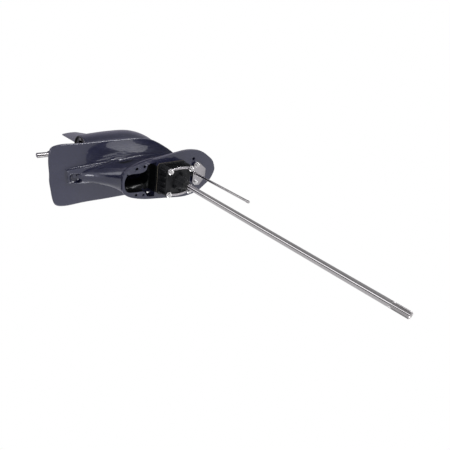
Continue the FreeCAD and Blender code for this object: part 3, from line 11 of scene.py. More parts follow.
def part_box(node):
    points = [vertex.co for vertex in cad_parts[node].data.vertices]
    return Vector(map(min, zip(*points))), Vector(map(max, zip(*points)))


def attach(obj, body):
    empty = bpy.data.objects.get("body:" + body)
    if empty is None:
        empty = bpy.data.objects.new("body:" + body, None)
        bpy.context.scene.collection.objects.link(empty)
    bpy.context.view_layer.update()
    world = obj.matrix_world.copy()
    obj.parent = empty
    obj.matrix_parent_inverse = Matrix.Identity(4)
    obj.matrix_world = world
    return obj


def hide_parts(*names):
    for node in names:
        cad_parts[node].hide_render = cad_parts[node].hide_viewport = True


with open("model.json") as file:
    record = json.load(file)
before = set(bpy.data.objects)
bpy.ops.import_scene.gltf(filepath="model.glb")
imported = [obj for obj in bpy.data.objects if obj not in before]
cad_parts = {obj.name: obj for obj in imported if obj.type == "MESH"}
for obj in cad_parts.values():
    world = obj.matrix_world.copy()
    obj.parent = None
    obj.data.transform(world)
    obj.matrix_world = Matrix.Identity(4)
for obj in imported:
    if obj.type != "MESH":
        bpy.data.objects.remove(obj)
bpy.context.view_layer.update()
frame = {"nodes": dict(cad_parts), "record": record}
CAD_NODES = frame["nodes"]

bl_info = {
    "name": "Outboard Lower Unit",
    "version": (1, 0, 0),
    "blender": (4, 5, 0),
    "location": "3D View > Sidebar > Lower Unit",
    "description": "Finishes the pieces of an outboard motor's lower unit and sets its stage",
    "category": "Object",
}

MM = 0.001
MATERIALS = {}

# Sizes are in metres, and a profile is a row of (level, radius) pairs

DRIVE_RADIUS = 0.0085
DRIVE_FOOT_RADIUS = 0.0065
DRIVE_FOOT_CHAMFER = 0.0009
DRIVE_STEPS = ((-0.280, 0.0065), (-0.280, 0.00795), (-0.2625, 0.00795), (-0.2625, 0.010), (-0.040, 0.010),
               (-0.037, DRIVE_RADIUS), (0.0, DRIVE_RADIUS))
DRIVE_END = ((-0.0025, DRIVE_RADIUS), (0.0, 0.0059), (-0.0012, 0.0040), (-0.0030, 0.0))
DRIVE_SPLINE_LENGTH = 0.045
DRIVE_SPLINE_SPAN = 0.0365
DRIVE_SPLINE_DEPTH = 0.00115
DRIVE_RINGS = 8

SHIFT_ROD_X = 0.094
SHIFT_ROD_RADIUS = 0.0040
SHIFT_TIP_RADIUS = 0.0044
SHIFT_END_RADIUS = 0.0034
SHIFT_TIP_LENGTH = 0.012
SHIFT_TIP_SPAN = 0.0104
SHIFT_SPLINE_DEPTH = 0.00055
SHIFT_SPLINE_TEETH = 16
SHIFT_AROUND = 96
SHIFT_RINGS = 4

BOOT_BORE = 0.0088
BOOT_PROFILE = ((0.0740, BOOT_BORE), (0.0740, 0.0138), (0.0752, 0.0141), (0.0772, 0.0141), (0.0782, 0.0133),
                (0.0800, 0.0131), (0.0812, 0.0118), (0.0836, 0.0112), (0.0868, 0.0112), (0.0880, 0.0108),
                (0.0890, 0.0100), (0.0890, BOOT_BORE))

RIB_WIDTH, RIB_HEIGHT, RIB_ROOT, RIB_ROUND = 0.003, 0.029, 0.003, 0.0009
RIB_SPREAD = (0.056, 0.090)
RIB_PLACE = (-0.004, 0.0, 0.0235)

BOLT_SHANK_RADIUS = 0.00395
BOLT_COLLAR_HEIGHT = 0.0016
PUMP_BOLT_SEAT = 0.0464
PUMP_BOLT_REACH = 0.022
PUMP_BOLT_SPREAD = (0.080, 0.076)
WASHER_SIZE = (0.0082, 0.0043, 0.0014)
WASHER_SEAT = 0.045
BRACKET_BOLT_LENGTH = 0.024
BRACKET_BOLT_SPREAD = (0.0, 0.062)
BRACKET_BOLT_PLACE = (0.098, 0.0, 0.008)
BRACKET_BOLT_TURN = 0.4

# Node, slot, finish and edge rounding of the pressed and moulded pieces that keep their packed form
EDGED_PARTS = (
    ("holder_bar_port", "stainless", "sheet_stainless", 0.0006),
    ("holder_bar_starboard", "stainless", "sheet_stainless", 0.0006),
    ("shift_bracket", "stainless", "sheet_stainless", 0.0007),
    ("wear_plate", "stainless", "sheet_stainless", 0.0003),
    ("water_screen_port", "pump_plastic", "pump_plastic", 0.0004),
    ("water_screen_starboard", "pump_plastic", "pump_plastic", 0.0004),
    ("shift_seal_housing", "pump_plastic", "pump_plastic", 0.0005),
    ("drain_plug", "fastener_steel", "fastener_steel", 0.0004),
    ("level_plug", "fastener_steel", "fastener_steel", 0.0004),
)
# Finishes that differ from the one of the node's slot; the carrier bolts take the darker gear steel as
# painted shade inside the bearing tube's mouth
FINISHES_AND_PAINTED_SHADE = {"propeller_shaft": "propeller_steel", "carrier_bolts": "gear_steel"}

# Level, rear end and widest half of the sweep behind the neck, in millimetres; FREE follows the casting
FREE = 99.0
SWEEP_LEVELS = (
    (-6.0, -172.5, FREE), (-20.0, -176.0, FREE), (-38.0, -184.0, FREE), (-56.0, -196.0, FREE),
    (-70.0, -210.0, FREE), (-82.0, -226.0, 38.0), (-91.0, -241.0, 36.5), (-98.0, -250.0, 33.0),
    (-105.0, -256.0, 31.0))

# Painted shade: the open chamber, the seat behind the pump and the bearing tube's mouth are coloured near
# black and lose most of their clear coat
CHAMBER_MIDDLE_X, CHAMBER_HALF_X, CHAMBER_HALF_Y = -0.114, 0.056, 0.047
CHAMBER_TOP, CHAMBER_FLOOR = -0.0012, -0.075
PUMP_SEAT = ((-0.068, 0.013), (0.0, 0.044), (-0.02, 0.0205))
TUBE_LEVEL, TUBE_RADIUS, TUBE_MOUTH_X = -0.308, 0.0515, -0.09

# Direction in degrees round the part, and the tone that its finishes see there
CARDS = ((-179.0, 0.78), (-60.0, 0.80), (-30.0, 0.50), (60.0, 0.44), (112.0, 0.30), (131.0, 0.4),
         (138.0, 2.6), (150.0, 2.6), (154.0, 0.04), (174.0, 0.04), (179.0, 0.7))
CARDS_NEAR, CARDS_FAR = 0.75, 1.05
FLOOR_TINT = (1.0, 0.96, 1.12)
FLOOR_HALF = 6.0
WALL_SOFTNESS = 0.16

# Name, place, aim, size and power of each light
PANELS = (
    ("key_panel", (1.05, 2.34, 1.38), (-0.1, 0, -0.05), (1.2, 0.75), 60),
    ("back_panel", (0.2, -1.9, 1.5), (0, 0, -0.1), (1.8, 0.6), 20),
    ("aft_panel", (-1.8, 0.3, 2.0), (0, 0, -0.2), (0.8, 0.9), 16),
)
CAMERA_RIGHT = Vector((0.7061, 0.1535, 0.6912))
CAMERA_UP = Vector((0.2331, 0.8714, -0.4316))
CAMERA_BACK = Vector((-0.6686, 0.4659, 0.5795))
CAMERA_PLACE = Vector((-0.6573, 0.4077, 0.8304))


# Properties


class LowerUnitPaint(bpy.types.PropertyGroup):
    base_color: FloatVectorProperty(
        name="Base", description="Colour of the paint under its clear coat", subtype="COLOR",
        size=3, min=0, max=1, default=(0.0052, 0.0060, 0.0235))
    flake_color: FloatVectorProperty(
        name="Flake", description="Colour that the metallic flakes give back", subtype="COLOR",
        size=3, min=0, max=1, default=(0.0130, 0.0145, 0.0500))
    flake_size: FloatProperty(
        name="Flake Size", description="Width of one fleck in the paint",
        subtype="DISTANCE", unit="LENGTH", min=0.0001, default=0.0008)
    ripple: FloatProperty(
        name="Ripple", description="Depth of the paint's slight ripple",
        subtype="DISTANCE", unit="LENGTH", min=0, default=0.00002)


class LowerUnitShafts(bpy.types.PropertyGroup):
    steel_color: FloatVectorProperty(
        name="Steel", description="Colour of the ground stainless steel", subtype="COLOR",
        size=3, min=0, max=1, default=(0.55, 0.53, 0.535))
    spline_teeth: IntProperty(
        name="Spline Teeth", description="Teeth on the drive shaft's upper end", min=6, default=14)
    around: IntProperty(
        name="Around", description="Facets round the drive shaft", min=24, default=112)


class LowerUnitFasteners(bpy.types.PropertyGroup):
    head_across: FloatProperty(
        name="Head Width", description="Width of a bolt head across its flats",
        subtype="DISTANCE", unit="LENGTH", min=0.005, default=0.0136)
    head_height: FloatProperty(
        name="Head Height", description="Height of a bolt head over its collar",
        subtype="DISTANCE", unit="LENGTH", min=0.002, default=0.0049)
    collar_radius: FloatProperty(
        name="Collar Radius", description="Radius of the collar under a bolt head",
        subtype="DISTANCE", unit="LENGTH", min=0.004, default=0.0094)


class LowerUnitPump(bpy.types.PropertyGroup):
    rib_count: IntProperty(
        name="Side Ribs", description="Ribs along each side of the pump", min=2, default=9)
    rib_depth: FloatProperty(
        name="Rib Depth", description="How far a side rib stands out",
        subtype="DISTANCE", unit="LENGTH", min=0.0005, default=0.0034)
    plastic_color: FloatVectorProperty(
        name="Plastic", description="Colour of the moulded pump body", subtype="COLOR",
        size=3, min=0, max=1, default=(0.0034, 0.0036, 0.0048))


class LowerUnitStage(bpy.types.PropertyGroup):
    floor_height: FloatProperty(
        name="Floor Height", description="Height of the floor under the skeg",
        subtype="DISTANCE", unit="LENGTH", default=-0.56)
    lens: FloatProperty(
        name="Lens", description="Focal length of the camera in millimetres", min=10, default=27.58)
    sky: FloatProperty(
        name="Sky", description="Strength of the room's light", min=0, default=1.0)
    ceiling: FloatProperty(
        name="Ceiling", description="Brightness of the room overhead", min=0, default=0.85)
    wall_top: FloatProperty(
        name="Wall Top", description="Height in the sky, 0 to 1, where the walls meet the ceiling",
        default=0.34)
    ground: FloatProperty(
        name="Ground", description="Tone of the floor near the part as its finishes see it",
        min=0, max=1, default=0.50)


# Small helpers for node trees


def connect(tree, source, target):
    tree.links.new(source, target)


def add(tree, kind, **values):
    node = tree.nodes.new(kind)
    for key, value in values.items():
        setattr(node, key, value)
    return node


def feed(tree, socket, value):
    """Connects an input to another node's output, or sets it to a plain value."""
    if hasattr(value, "is_output"):
        connect(tree, value, socket)
    else:
        socket.default_value = value


def calculate(tree, operation, *values):
    node = add(tree, "ShaderNodeMath", operation=operation)
    for socket, value in zip(node.inputs, values):
        feed(tree, socket, value)
    return node.outputs[0]


def calculate_vector(tree, operation, *values):
    node = add(tree, "ShaderNodeVectorMath", operation=operation)
    for socket, value in zip(node.inputs, values):
        feed(tree, socket, value)
    return node.outputs["Value" if operation == "LENGTH" else "Vector"]


def group_tree(name, inputs, outputs):
    """An empty shader group with named sockets; returns the tree, its input node and its output node."""
    tree = bpy.data.node_groups.new(name, "ShaderNodeTree")
    for label, kind, default in inputs:
        tree.interface.new_socket(label, in_out="INPUT", socket_type=kind).default_value = default
    for label in outputs:
        tree.interface.new_socket(label, in_out="OUTPUT", socket_type="NodeSocketFloat")
    return tree, tree.nodes.new("NodeGroupInput"), tree.nodes.new("NodeGroupOutput")


def noise(tree, vector, scale, detail=3.0, roughness=0.5):
    node = add(tree, "ShaderNodeTexNoise")
    for label, value in (("Vector", vector), ("Scale", scale), ("Detail", detail), ("Roughness", roughness)):
        feed(tree, node.inputs[label], value)
    return node.outputs["Fac"]


def ramp(tree, value, low, high, low_out=0.0, high_out=1.0):
    node = add(tree, "ShaderNodeMapRange", clamp=True)
    connect(tree, value, node.inputs["Value"])
    for label, number in (("From Min", low), ("From Max", high), ("To Min", low_out), ("To Max", high_out)):
        node.inputs[label].default_value = number
    return node.outputs["Result"]


def mix_color(tree, factor, first, second):
    node = add(tree, "ShaderNodeMix", data_type="RGBA")
    connect(tree, factor, node.inputs["Factor"])
    for socket, value in ((node.inputs[6], first), (node.inputs[7], second)):
        feed(tree, socket, value if hasattr(value, "is_output") else (*value, 1.0))
    return node.outputs[2]


def mix_shader(tree, factor, first, second):
    node = add(tree, "ShaderNodeMixShader")
    for socket, value in zip(node.inputs, (factor, first, second)):
        connect(tree, value, socket)
    return node.outputs[0]


def flecks_group():
    """Fine specks and a slow drift of tone, as in metallic paint."""
    tree, inside, outside = group_tree(
        "Flecks",
        [("Fleck Size", "NodeSocketFloat", 0.0008), ("Ripple Size", "NodeSocketFloat", 0.004)],
        ["Specks", "Drift", "Ripple"])
    place = add(tree, "ShaderNodeTexCoord").outputs["Object"]
    fine = calculate(tree, "DIVIDE", 1.0, inside.outputs["Fleck Size"])
    wide = calculate(tree, "DIVIDE", 1.0, inside.outputs["Ripple Size"])
    specks = noise(tree, place, fine, 2.0)
    drift = noise(tree, place, 9.0, 4.0)
    connect(tree, ramp(tree, specks, 0.42, 0.66), outside.inputs["Specks"])
    connect(tree, ramp(tree, drift, 0.35, 0.7), outside.inputs["Drift"])
    connect(tree, noise(tree, place, wide, 1.5), outside.inputs["Ripple"])
    return tree


def tooling_group():
    """Fine lines across a stretched direction, as grinding or brushing leaves."""
    tree, inside, outside = group_tree(
        "Tooling Lines", [("Stretch", "NodeSocketVector", (30.0, 30.0, 4000.0))], ["Lines", "Bands"])
    place = add(tree, "ShaderNodeTexCoord").outputs["Object"]
    scaled = calculate_vector(tree, "MULTIPLY", place, inside.outputs["Stretch"])
    slower = calculate_vector(tree, "MULTIPLY", scaled, (0.05, 0.05, 0.05))
    connect(tree, noise(tree, scaled, 1.0, 2.0), outside.inputs["Lines"])
    connect(tree, ramp(tree, noise(tree, slower, 1.0, 3.0), 0.3, 0.7), outside.inputs["Bands"])
    return tree


def handling_group():
    """Dust, finger smears and small scuffs over a surface."""
    tree, inside, outside = group_tree(
        "Handling Marks", [("Amount", "NodeSocketFloat", 0.3)], ["Dust", "Smears"])
    place = add(tree, "ShaderNodeTexCoord").outputs["Object"]
    patches = ramp(tree, noise(tree, place, 38.0, 6.0, 0.62), 0.45, 0.75)
    spots = ramp(tree, noise(tree, place, 900.0, 2.0), 0.5, 0.7)
    streaks = ramp(tree, noise(tree, place, 22.0, 3.0, 0.7), 0.48, 0.68)
    for label, marks in (("Dust", calculate(tree, "MULTIPLY", patches, spots)), ("Smears", streaks)):
        amount = calculate(tree, "MULTIPLY", marks, inside.outputs["Amount"])
        connect(tree, amount, outside.inputs[label])
    return tree


def hollow_shade_group():
    """Painted shade mask: one inside the open chamber, the seat behind the pump and the bearing tube, zero
    elsewhere.
    """
    tree, inside, outside = group_tree("Hollow Shade", [("Top", "NodeSocketFloat", CHAMBER_TOP)], ["Inside"])
    place = add(tree, "ShaderNodeTexCoord").outputs["Object"]
    parts = add(tree, "ShaderNodeSeparateXYZ")
    connect(tree, place, parts.inputs[0])
    x, y, z = parts.outputs

    flat = add(tree, "ShaderNodeCombineXYZ")
    from_middle = calculate(tree, "SUBTRACT", x, CHAMBER_MIDDLE_X)
    connect(tree, calculate(tree, "DIVIDE", from_middle, CHAMBER_HALF_X), flat.inputs["X"])
    connect(tree, calculate(tree, "DIVIDE", y, CHAMBER_HALF_Y), flat.inputs["Y"])
    within = ramp(tree, calculate_vector(tree, "LENGTH", flat.outputs[0]), 0.98, 1.0, 1.0, 0.0)
    below_top = calculate(tree, "LESS_THAN", z, inside.outputs["Top"])
    above_floor = calculate(tree, "GREATER_THAN", z, CHAMBER_FLOOR)
    between = calculate(tree, "MULTIPLY", below_top, above_floor)
    chamber = calculate(tree, "MULTIPLY", within, between)

    near = [calculate(tree, "COMPARE", part, middle, half)
            for part, (middle, half) in zip(parts.outputs, PUMP_SEAT)]
    seat = calculate(tree, "MULTIPLY", calculate(tree, "MULTIPLY", near[0], near[1]), near[2])

    from_axis = calculate_vector(tree, "MULTIPLY_ADD", place, (0, 1, 1), (0, 0, -TUBE_LEVEL))
    off_axis = calculate_vector(tree, "LENGTH", from_axis)
    tube = ramp(tree, off_axis, TUBE_RADIUS, TUBE_RADIUS + MM, 1.0, 0.0)
    mouth = calculate(tree, "MULTIPLY", tube, calculate(tree, "LESS_THAN", x, TUBE_MOUTH_X))

    hollow_shade = calculate(tree, "MAXIMUM", calculate(tree, "MAXIMUM", chamber, seat), mouth)
    connect(tree, hollow_shade, outside.inputs["Inside"])
    return tree


def use_group(material, name, build, **values):
    """A node of a shared shader group, which build() makes the first time."""
    group = bpy.data.node_groups.get(name) or build()
    node = add(material.node_tree, "ShaderNodeGroup", node_tree=group)
    for label, value in values.items():
        node.inputs[label.replace("_", " ")].default_value = value
    return node


def new_material(name):
    material = bpy.data.materials.get(name) or bpy.data.materials.new(name)
    material.use_nodes = True
    material.node_tree.nodes.clear()
    shader = add(material.node_tree, "ShaderNodeBsdfPrincipled")
    out = add(material.node_tree, "ShaderNodeOutputMaterial")
    connect(material.node_tree, shader.outputs["BSDF"], out.inputs["Surface"])
    return material, shader


def add_bump(material, shader, height, distance):
    bump = add(material.node_tree, "ShaderNodeBump")
    bump.inputs["Distance"].default_value = distance
    bump.inputs["Strength"].default_value = 1.0
    connect(material.node_tree, height, bump.inputs["Height"])
    connect(material.node_tree, bump.outputs["Normal"], shader.inputs["Normal"])


# Materials


def marine_paint(paint):
    material, shader = new_material("marine_paint")
    tree = material.node_tree
    flecks = use_group(material, "Flecks", flecks_group, Fleck_Size=paint.flake_size, Ripple_Size=0.006)
    marks = use_group(material, "Handling Marks", handling_group, Amount=0.25)
    hollow_shade = use_group(material, "Hollow Shade", hollow_shade_group).outputs["Inside"]
    toned = mix_color(tree, flecks.outputs["Specks"], paint.base_color, paint.flake_color)
    dusty = mix_color(tree, marks.outputs["Dust"], toned, (0.10, 0.10, 0.11))
    # painted shade: the hollows are coloured near black
    shaded = mix_color(tree, hollow_shade, dusty, (0.002, 0.0025, 0.003))
    connect(tree, shaded, shader.inputs["Base Color"])
    shader.inputs["Metallic"].default_value = 0.35
    connect(tree, ramp(tree, flecks.outputs["Drift"], 0, 1, 0.30, 0.40), shader.inputs["Roughness"])
    facing = add(tree, "ShaderNodeLayerWeight")
    facing.inputs["Blend"].default_value = 0.5
    flat_on = ramp(tree, facing.outputs["Facing"], 0.55, 0.95, 1.0, 0.30)
    # painted shade: the clear coat is thinned in the hollows so they give back little reflection
    outside = ramp(tree, hollow_shade, 0, 1, 1.0, 0.08)
    connect(tree, calculate(tree, "MULTIPLY", flat_on, outside), shader.inputs["Coat Weight"])
    shader.inputs["Coat IOR"].default_value = 1.5
    shader.inputs["Coat Roughness"].default_value = 0.035
    add_bump(material, shader, flecks.outputs["Ripple"], paint.ripple)
    return material


def ground_steel(name, color, stretch, rough=(0.14, 0.26), depth=0.000004):
    material, shader = new_material(name)
    tree = material.node_tree
    lines = use_group(material, "Tooling Lines", tooling_group, Stretch=stretch)
    marks = use_group(material, "Handling Marks", handling_group, Amount=0.3)
    worn = mix_color(tree, lines.outputs["Bands"], [c * 0.86 for c in color], color)
    smeared = mix_color(tree, marks.outputs["Smears"], worn, [c * 0.72 for c in color])
    connect(tree, smeared, shader.inputs["Base Color"])
    shader.inputs["Metallic"].default_value = 1.0
    connect(tree, ramp(tree, lines.outputs["Bands"], 0, 1, *rough), shader.inputs["Roughness"])
    add_bump(material, shader, lines.outputs["Lines"], depth)
    return material


def moulded(name, color, rough, grain=0.00003, dust=0.4):
    material, shader = new_material(name)
    tree = material.node_tree
    flecks = use_group(material, "Flecks", flecks_group, Fleck_Size=0.0005, Ripple_Size=0.0009)
    marks = use_group(material, "Handling Marks", handling_group, Amount=dust)
    toned = mix_color(tree, flecks.outputs["Drift"], color, [c * 1.6 for c in color])
    dusty = mix_color(tree, marks.outputs["Dust"], toned, [c * 3 + 0.03 for c in color])
    connect(tree, dusty, shader.inputs["Base Color"])
    connect(tree, ramp(tree, flecks.outputs["Specks"], 0, 1, *rough), shader.inputs["Roughness"])
    shader.inputs["Specular IOR Level"].default_value = 0.22
    add_bump(material, shader, flecks.outputs["Ripple"], grain)
    return material


def cast_zinc():
    material, shader = new_material("cast_zinc")
    tree = material.node_tree
    flecks = use_group(material, "Flecks", flecks_group, Fleck_Size=0.0012, Ripple_Size=0.0022)
    bloom = mix_color(tree, flecks.outputs["Drift"], (0.36, 0.37, 0.39), (0.52, 0.53, 0.55))
    pitted = mix_color(tree, flecks.outputs["Specks"], bloom, (0.28, 0.28, 0.30))
    connect(tree, pitted, shader.inputs["Base Color"])
    shader.inputs["Metallic"].default_value = 0.85
    connect(tree, ramp(tree, flecks.outputs["Drift"], 0, 1, 0.45, 0.62), shader.inputs["Roughness"])
    add_bump(material, shader, flecks.outputs["Ripple"], 0.00012)
    return material


def make_materials(scene):
    paint, shafts, pump = scene.lower_unit_paint, scene.lower_unit_shafts, scene.lower_unit_pump
    steel = tuple(shafts.steel_color)
    along_z, along_x, spread = (30.0, 30.0, 5200.0), (5200.0, 30.0, 30.0), (900.0, 900.0, 900.0)
    sheet = (60.0, 3000.0, 60.0)
    return {
        "casting_paint": marine_paint(paint),
        "stainless": ground_steel("ground_stainless", steel, along_z, (0.10, 0.16), 0.0000006),
        "propeller_steel": ground_steel("ground_propeller_shaft", (0.27, 0.26, 0.265), along_x, (0.2, 0.34)),
        "sheet_stainless": ground_steel("polished_sheet", (0.46, 0.44, 0.465), sheet, (0.16, 0.28)),
        "fastener_steel": ground_steel("fastener_steel", (0.66, 0.65, 0.66), spread, (0.16, 0.3), 0.00001),
        "bearing_steel": ground_steel("bearing_steel", (0.42, 0.42, 0.44), along_z, (0.06, 0.14)),
        "gear_steel": ground_steel("gear_steel", (0.30, 0.29, 0.285), spread, (0.2, 0.4), 0.00001),
        "pump_plastic": moulded("pump_plastic", tuple(pump.plastic_color), (0.46, 0.6)),
        "rubber_black": moulded("seal_rubber", (0.009, 0.009, 0.0095), (0.42, 0.62), 0.00005, 0.5),
        "gasket_sheet": moulded("gasket_sheet", (0.085, 0.075, 0.06), (0.7, 0.9), 0.00008, 0.2),
        "zinc": cast_zinc(),
        "bush_bronze": ground_steel("bush_bronze", (0.48, 0.32, 0.16), along_x, (0.2, 0.35)),
    }


# Small helpers for meshes


def smooth(mesh, angle):
    mesh.shade_smooth()
    mesh.set_sharp_from_angle(angle=math.radians(angle))


def to_mesh(name, work):
    """A new mesh from a bmesh, which is freed."""
    mesh = bpy.data.meshes.new(name)
    work.to_mesh(mesh)
    work.free()
    return mesh


def keep_piece(name, mesh, body, slot, node, finish=None):
    """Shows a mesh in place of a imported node; its finish is its slot's unless another is named."""
    piece = bpy.data.objects.new(name, mesh)
    bpy.context.scene.collection.objects.link(piece)
    mesh.materials.clear()
    mesh.materials.append(MATERIALS[finish or slot])
    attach(piece, body)
    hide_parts(node)
    return piece


def finish_node(node, material):
    """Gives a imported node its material."""
    piece = CAD_NODES[node]
    if not piece.material_slots:
        piece.data.materials.append(material)
    for material_slot in piece.material_slots:
        material_slot.material = material


def merged_mesh(node, flat=False):
    """A copy of a node's mesh with its corners merged, and its flat areas made whole if asked."""
    work = bmesh.new()
    work.from_mesh(CAD_NODES[node].data)
    bmesh.ops.remove_doubles(work, verts=work.verts, dist=0.000004)
    if flat:
        bmesh.ops.dissolve_limit(work, angle_limit=math.radians(1.0), verts=work.verts, edges=work.edges)
    return to_mesh(node, work)


def joined(name, meshes):
    work = bmesh.new()
    for mesh in meshes:
        work.from_mesh(mesh)
    return to_mesh(name, work)


def modified(mesh, kind, values, sockets=()):
    """The plain mesh that one modifier makes of a mesh, which is removed."""
    helper = bpy.data.objects.new("work", mesh)
    bpy.context.scene.collection.objects.link(helper)
    modifier = helper.modifiers.new("work", kind)
    for key, value in values.items():
        setattr(modifier, key, value)
    for identifier, value in sockets:
        modifier[identifier] = value
    made = bpy.data.meshes.new_from_object(helper.evaluated_get(bpy.context.evaluated_depsgraph_get()))
    bpy.data.objects.remove(helper)
    bpy.data.meshes.remove(mesh)
    return made


def soften_edges(mesh, width):
    """The mesh with its sharp edges rounded off."""
    return modified(mesh, "BEVEL", {"width": width, "segments": 2, "limit_method": "ANGLE",
                                    "angle_limit": math.radians(35.0), "harden_normals": False})


def turned_mesh(name, profile, around, centre_x=0.0, closed=False):
    """A mesh turned round an upright axis, from (level, radius) pairs."""
    work = bmesh.new()
    rings = []
    for level, radius in profile:
        if radius < 1e-7:
            rings.append([work.verts.new((centre_x, 0, level))])
            continue
        angles = [2 * math.pi * i / around for i in range(around)]
        rings.append([work.verts.new((centre_x + radius * math.cos(a), radius * math.sin(a), level))
                      for a in angles])
    for low, high in zip(rings, rings[1:] + rings[:1] if closed else rings[1:]):
        for i in range(around):
            j = (i + 1) % around
            if len(low) == 1:
                work.faces.new((low[0], high[j], high[i]))
            elif len(high) == 1:
                work.faces.new((low[i], low[j], high[0]))
            else:
                work.faces.new((low[i], low[j], high[j], high[i]))
    bmesh.ops.recalc_face_normals(work, faces=work.faces)
    return to_mesh(name, work)


def cut_splines(mesh, low, high, outer, depth, teeth, centre_x=0.0):
    """Draws the spaces between teeth inwards on the surface between two levels."""
    half_space, flank, skin, slack = 0.25, 0.09, 0.6, 1e-6
    for vertex in mesh.vertices:
        x, y, z = vertex.co.x - centre_x, vertex.co.y, vertex.co.z
        radius = math.hypot(x, y)
        if z < low - slack or z > high + slack or radius < outer - depth * skin:
            continue
        phase = (math.atan2(y, x) / (2 * math.pi) * teeth) % 1.0
        rise = min(1.0, max(0.0, (abs(phase - 0.5) - half_space) / flank))
        share = (radius - depth * (1.0 - rise)) / radius
        vertex.co = (centre_x + x * share, y * share, z)
    mesh.update()


def bolt_mesh(length, settings, turn=0.0):
    """A hexagon-head bolt along +Z with its seat at the origin, with a dished top and a threaded shank."""
    around = 48
    collar, apothem = settings.collar_radius, settings.head_across / 2
    top = BOLT_COLLAR_HEIGHT + settings.head_height
    chamfer, dish = settings.head_height * 0.16, settings.head_height * 0.12
    pitch = BOLT_SHANK_RADIUS * 0.32
    threads = max(3, int(length * 0.72 / pitch))

    def circle(radius):
        return lambda angle: radius

    def hexagon(angle):
        within = (angle + math.pi / 6) % (math.pi / 3) - math.pi / 6
        return apothem / math.cos(within)

    def trimmed(angle):
        return min(hexagon(angle), apothem * 0.97)

    crest, groove = circle(BOLT_SHANK_RADIUS * 0.985), circle(BOLT_SHANK_RADIUS * 0.86)
    profile = [(-length, circle(BOLT_SHANK_RADIUS * 0.72))]
    for i in range(threads):
        level = -length + pitch * (i + 0.25)
        profile += [(level, crest), (level + pitch * 0.5, groove)]
    profile += [
        (-length + pitch * (threads + 0.3), crest), (0.0, crest), (0.0, circle(collar * 0.96)),
        (BOLT_COLLAR_HEIGHT * 0.4, circle(collar)), (BOLT_COLLAR_HEIGHT * 0.85, circle(collar * 0.97)),
        (BOLT_COLLAR_HEIGHT * 1.25, hexagon), (top - chamfer, hexagon), (top, trimmed),
        (top, circle(apothem * 0.70)), (top - dish, circle(apothem * 0.55)),
    ]
    work = bmesh.new()
    rings = []
    for level, radius_at in profile:
        ring = []
        for i in range(around):
            angle = 2 * math.pi * i / around
            radius = radius_at(angle)
            x, y = radius * math.cos(angle + turn), radius * math.sin(angle + turn)
            ring.append(work.verts.new((x, y, level)))
        rings.append(ring)
    for below, above in zip(rings, rings[1:]):
        for i in range(around):
            j = (i + 1) % around
            work.faces.new((below[i], below[j], above[j], above[i]))
    work.faces.new(list(reversed(rings[0])))
    work.faces.new(rings[-1])
    bmesh.ops.recalc_face_normals(work, faces=work.faces)
    return to_mesh("bolt", work)


def washer_mesh(outer, inner, height):
    edge = height * 0.3
    return turned_mesh("washer", [
        (0, inner), (0, outer - edge), (edge * 0.6, outer), (height - edge, outer), (height, outer - edge),
        (height, inner + edge), (height - edge, inner),
    ], 64, closed=True)


def sweep_mesh(housing):
    """The smooth sweep of the casting from the deck's rear rim down to the fairing on the plate."""
    front, widest, roundness = -0.070, -0.024, 2.35
    inset, wall, beside = 0.985, 0.0025, 0.3
    steps, rows_between = 30, 3
    corners, faces = [v.co for v in housing.vertices], [tuple(f.vertices) for f in housing.polygons]
    tree = BVHTree.FromPolygons(corners, faces)
    work = bmesh.new()
    rows = []
    last = len(SWEEP_LEVELS) - 1
    for i in range(last * rows_between + 1):
        index = min(i // rows_between, last - 1)
        part = i / rows_between - index
        ends = zip(SWEEP_LEVELS[index], SWEEP_LEVELS[index + 1])
        z, rear, limit = ((a + (b - a) * part) * MM for a, b in ends)
        side = tree.ray_cast(Vector((front, beside, z)), Vector((0, -1, 0)))[0].y

        def width(x):
            return (1.0 - min(1.0, (widest - x) / (widest - rear)) ** roundness) ** (1.0 / roundness)

        half = min(side * inset, limit) / width(front)
        port = []
        for k in range(steps + 1):
            x = rear + (front - rear) * (1.0 - math.cos(math.pi / 2 * k / steps))
            port.append((x, half * width(x)))
        outline = list(reversed(port)) + [(x, -y) for x, y in port[1:]]
        rows.append([work.verts.new((x, y, z)) for x, y in outline])
    for upper, lower in zip(rows, rows[1:]):
        for k in range(len(upper) - 1):
            work.faces.new((upper[k], upper[k + 1], lower[k + 1], lower[k]))
    return modified(to_mesh("sweep", work), "SOLIDIFY", {"thickness": wall, "offset": -1.0})


# Geometry Nodes


